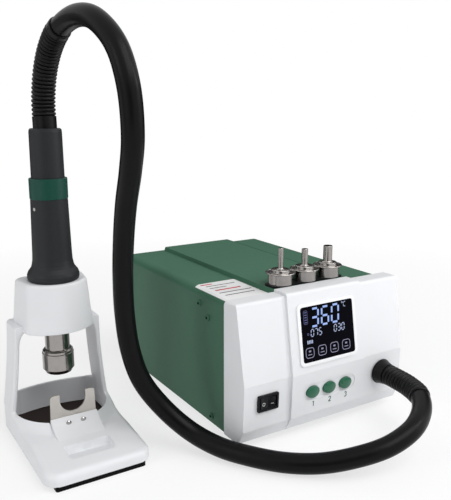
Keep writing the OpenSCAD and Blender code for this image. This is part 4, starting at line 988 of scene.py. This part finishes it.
class STATION_OT_finishes(bpy.types.Operator):
    """Finishes of the carried-over solids, one for each material slot"""

    bl_idname = "station.finishes"
    bl_label = "Finishes"

    def execute(self, context):
        s = context.scene.station_finishes
        coat = dict(grain=0.9 * MM, depth=0.03 * MM, tone=0.04, specular_ior_level=0.15)
        black = (0.006, 0.0065, 0.008)
        grains = (
            ("cover_green", s.cover, 0.5, coat),
            ("panel_green", s.cover, 0.52, coat),
            ("white_moulding", s.moulding, 0.42,
             dict(grain=0.35 * MM, depth=0.012 * MM, tone=0.012, specular_ior_level=0.35)),
            ("white_gloss", (0.86, 0.87, 0.89), 0.22, dict(depth=0.004 * MM, tone=0.01)),
            ("display_black", (0.002, 0.002, 0.004), 0.1,
             dict(depth=0.001 * MM, wear=0.03, specular_ior_level=0.02)),
            ("black_plastic", black, 0.38, dict(depth=0.015 * MM, specular_ior_level=0.15)),
            ("rocker_black", black, 0.25, dict(depth=0.008 * MM, specular_ior_level=0.25)),
            ("button_green", s.button, 0.28, dict(depth=0.005 * MM, tone=0.03)),
            ("circuit_board", (0.02, 0.1, 0.035), 0.4, dict(tone=0.2)),
            ("core_steel", (0.2, 0.13, 0.04), 0.5, dict(tone=0.15)),
            ("impeller_grey", (0.6, 0.62, 0.64), 0.45, {}),
            ("black_rubber", (0.004, 0.004, 0.0042), 0.6,
             dict(grain=0.5 * MM, depth=0.03 * MM, tone=0.2, specular_ior_level=0.05)),
            ("handle_black", s.handle, 0.5,
             dict(grain=0.45 * MM, depth=0.02 * MM, tone=0.06, specular_ior_level=0.2)),
            ("ring_green", s.ring, 0.42, dict(depth=0.012 * MM, tone=0.05, specular_ior_level=0.2)),
            ("ceramic_white", (0.78, 0.74, 0.66), 0.7, {}),
            ("mica", (0.6, 0.52, 0.3), 0.45, dict(tone=0.2)),
            ("pad_brown", (0.03, 0.022, 0.02), 0.7,
             dict(grain=0.7 * MM, depth=0.04 * MM, tone=0.2, specular_ior_level=0.1)),
        )
        for name, colour, roughness, options in grains:
            PAINTS[name] = grained(name, colour, roughness, **options)
        PAINTS.update({
            "nozzle_steel": turned_steel("nozzle_steel", (0.36, 0.34, 0.325), 0.19),
            "steel": turned_steel("steel", (0.42, 0.41, 0.4), 0.22),
            "fork_steel": sheet_metal("fork_steel", (0.6, 0.57, 0.53), 0.36),
            "zinc_sheet": sheet_metal("zinc_sheet", (0.55, 0.56, 0.58), 0.42),
            "aluminium": sheet_metal("aluminium", (0.7, 0.71, 0.73), 0.35, stretch=(1, 1, 40)),
        })
        slots = {row["node"]: row["material_slot"] for row in frame["record"]["subparts"]}
        for node, piece in NODES.items():
            if slots[node] in PAINTS:
                PAINTS[slots[node]].on(piece)
        PAINTS["cover_green"].on(NODES["cover_screws"])
        return {"FINISHED"}


class STATION_OT_stage(bpy.types.Operator):
    """The pale floor, the soft light and the camera"""

    bl_idname = "station.stage"
    bl_label = "Stage"

    def execute(self, context):
        s = context.scene.station_stage
        self.floor()
        self.light(s)
        self.camera(s)
        return {"FINISHED"}

    def floor(self):
        """A round floor: its own white is blended with the room's, which keeps the shadows soft."""
        rings, sides, inner, outer = 24, 96, 0.02, 4.0
        a = np.linspace(0, 2 * np.pi, sides, endpoint=False)
        r = np.linspace(inner, outer, rings)[:, None]
        grid = np.stack([r * np.cos(a), r * np.sin(a), 0 * r * a], -1)
        faces = [f[::-1] for f in skin_faces(rings, sides, caps=False)] + [list(range(sides))]
        floor = mesh_piece("floor", grid, faces, None, None)
        paint = Paint("floor_white", roughness=0.9, specular_ior_level=0.0, base_color=(0.93, 0.93, 0.935))
        x, y = paint.along("X"), paint.along("Y")
        share, clear, fade = 0.66, 0.3, 0.55
        blend = share + (1 - share) * (((x * x + y * y) ** 0.5 - clear) / fade).clamped()
        glow = paint.node("ShaderNodeEmission", inputs={"Color": (1, 1, 1), "Strength": 1.0})
        both = paint.node("ShaderNodeMixShader", inputs={
            "Fac": paint.seen() * blend, 1: Value(paint, paint.shader.outputs[0]), 2: glow})
        paint.tree.links.new(both.socket, paint.tree.nodes["Material Output"].inputs["Surface"])
        paint.on(floor)

    def light(self, s):
        """A large softbox above, a strip at the right, a fill at the left, a screen and a white room."""
        self.softbox("top_box", (0.3, -1.0, 1.35), (1.3, 1.0), s.key)
        self.softbox("right_strip", (1.15, -0.75, 0.6), (0.18, 1.1), s.key * 0.45)
        self.softbox("left_fill", (-1.1, -0.15, 0.45), (0.35, 0.7), s.key * 0.18)
        self.screen()
        world = bpy.data.worlds.new("white_room")
        bpy.context.scene.world = world
        room = Nodes(world)
        sky = room.tree.nodes["Background"]
        room.feed(sky.inputs["Color"], (1, 1, 1))
        room.feed(sky.inputs["Strength"], s.world + room.seen() * (1 - s.world))

    def screen(self):
        """A dark upright ring with three bright stretches, which only reflections meet."""
        radius, low, height, sides = 0.85, 0.002, 0.5, 96
        rim = raised(circle_outline(radius, sides), low)
        grid = np.stack([rim, rim + [0, 0, height]])
        screen = mesh_piece("dark_screen", grid, skin_faces(2, sides, caps=False), None, None)
        screen.visible_camera = screen.visible_diffuse = screen.visible_shadow = False
        paint = Paint("dark_screen", base_color=(0, 0, 0), roughness=1.0, specular_ior_level=0.0,
                      emission_strength=1.0)
        y, x = paint.along("Y"), paint.along("X")
        turn = paint.node("ShaderNodeMath", {"operation": "ARCTAN2"}, {0: y, 1: x}) / (2 * math.pi) + 0.5
        dark, bright = (0.04, 0.04, 0.04), (1, 1, 1)
        stops = [(0.0, dark), (0.05, bright), (0.11, bright), (0.14, dark), (0.2, dark), (0.23, bright),
                 (0.42, bright), (0.5, dark), (0.86, dark), (0.91, bright), (0.96, bright), (1.0, dark)]
        glow = paint.node("ShaderNodeValToRGB", {"stops": stops}, {"Fac": turn})
        paint.set(emission_color=glow).on(screen)

    def softbox(self, name, place, size, power):
        """A rectangular lamp of a size in metres, aimed at the middle of the part."""
        lamp = bpy.data.lights.new(name, "AREA")
        lamp.shape = "RECTANGLE"
        lamp.size, lamp.size_y = size
        lamp.energy = power
        box = bpy.data.objects.new(name, lamp)
        box.location = place
        target = (Vector(CAD_BOX[0]) + Vector(CAD_BOX[1])) / 2
        box.rotation_euler = (target - Vector(place)).to_track_quat("-Z", "Y").to_euler()
        bpy.context.scene.collection.objects.link(box)

    def camera(self, s):
        """The view of the photograph, where a 188 mm wide bezel puts it."""
        place, tilt = (-0.2963, -0.54564, 0.2943), 77.5
        camera = bpy.data.cameras.new("camera")
        camera.lens = s.lens
        camera.sensor_width = 36
        eye = bpy.data.objects.new("camera", camera)
        eye.location = place
        eye.rotation_euler = (math.radians(tilt), 0, math.radians(-VIEW_TURN))
        bpy.context.scene.collection.objects.link(eye)
        bpy.context.scene.camera = eye
        bpy.context.scene.view_settings.view_transform = "Standard"


class STATION_PT_pieces(bpy.types.Panel):
    """Lists the station's operators and settings in the 3D view's sidebar"""

    bl_label = "Hot Air Station"
    bl_idname = "STATION_PT_pieces"
    bl_space_type = "VIEW_3D"
    bl_region_type = "UI"
    bl_category = "Station"

    def draw(self, context):
        for operator in OPERATORS:
            self.layout.operator(operator.bl_idname)
        for group in SETTINGS:
            box = self.layout.box()
            for key in SETTINGS[group].__annotations__:
                box.prop(getattr(context.scene, group), key)


SETTINGS = {
    "station_hose": HoseSettings,
    "station_finishes": FinishSettings,
    "station_stage": StageSettings,
}
OPERATORS = [STATION_OT_finishes, STATION_OT_boots, STATION_OT_hose, STATION_OT_stand, STATION_OT_nozzles,
             STATION_OT_recess_shade, STATION_OT_step_shade, STATION_OT_readings, STATION_OT_rocker_marks,
             STATION_OT_numbers, STATION_OT_label, STATION_OT_stage]


def register():
    for group, settings in SETTINGS.items():
        bpy.utils.register_class(settings)
        setattr(bpy.types.Scene, group, bpy.props.PointerProperty(type=settings))
    for operator in OPERATORS:
        bpy.utils.register_class(operator)
    bpy.utils.register_class(STATION_PT_pieces)


def unregister():
    bpy.utils.unregister_class(STATION_PT_pieces)
    for operator in reversed(OPERATORS):
        bpy.utils.unregister_class(operator)
    for group, settings in SETTINGS.items():
        delattr(bpy.types.Scene, group)
        bpy.utils.unregister_class(settings)


def main():
    register()
    for operator in OPERATORS:
        group, name = operator.bl_idname.split(".")
        getattr(getattr(bpy.ops, group), name)()


if __name__ == "__main__":
    main()
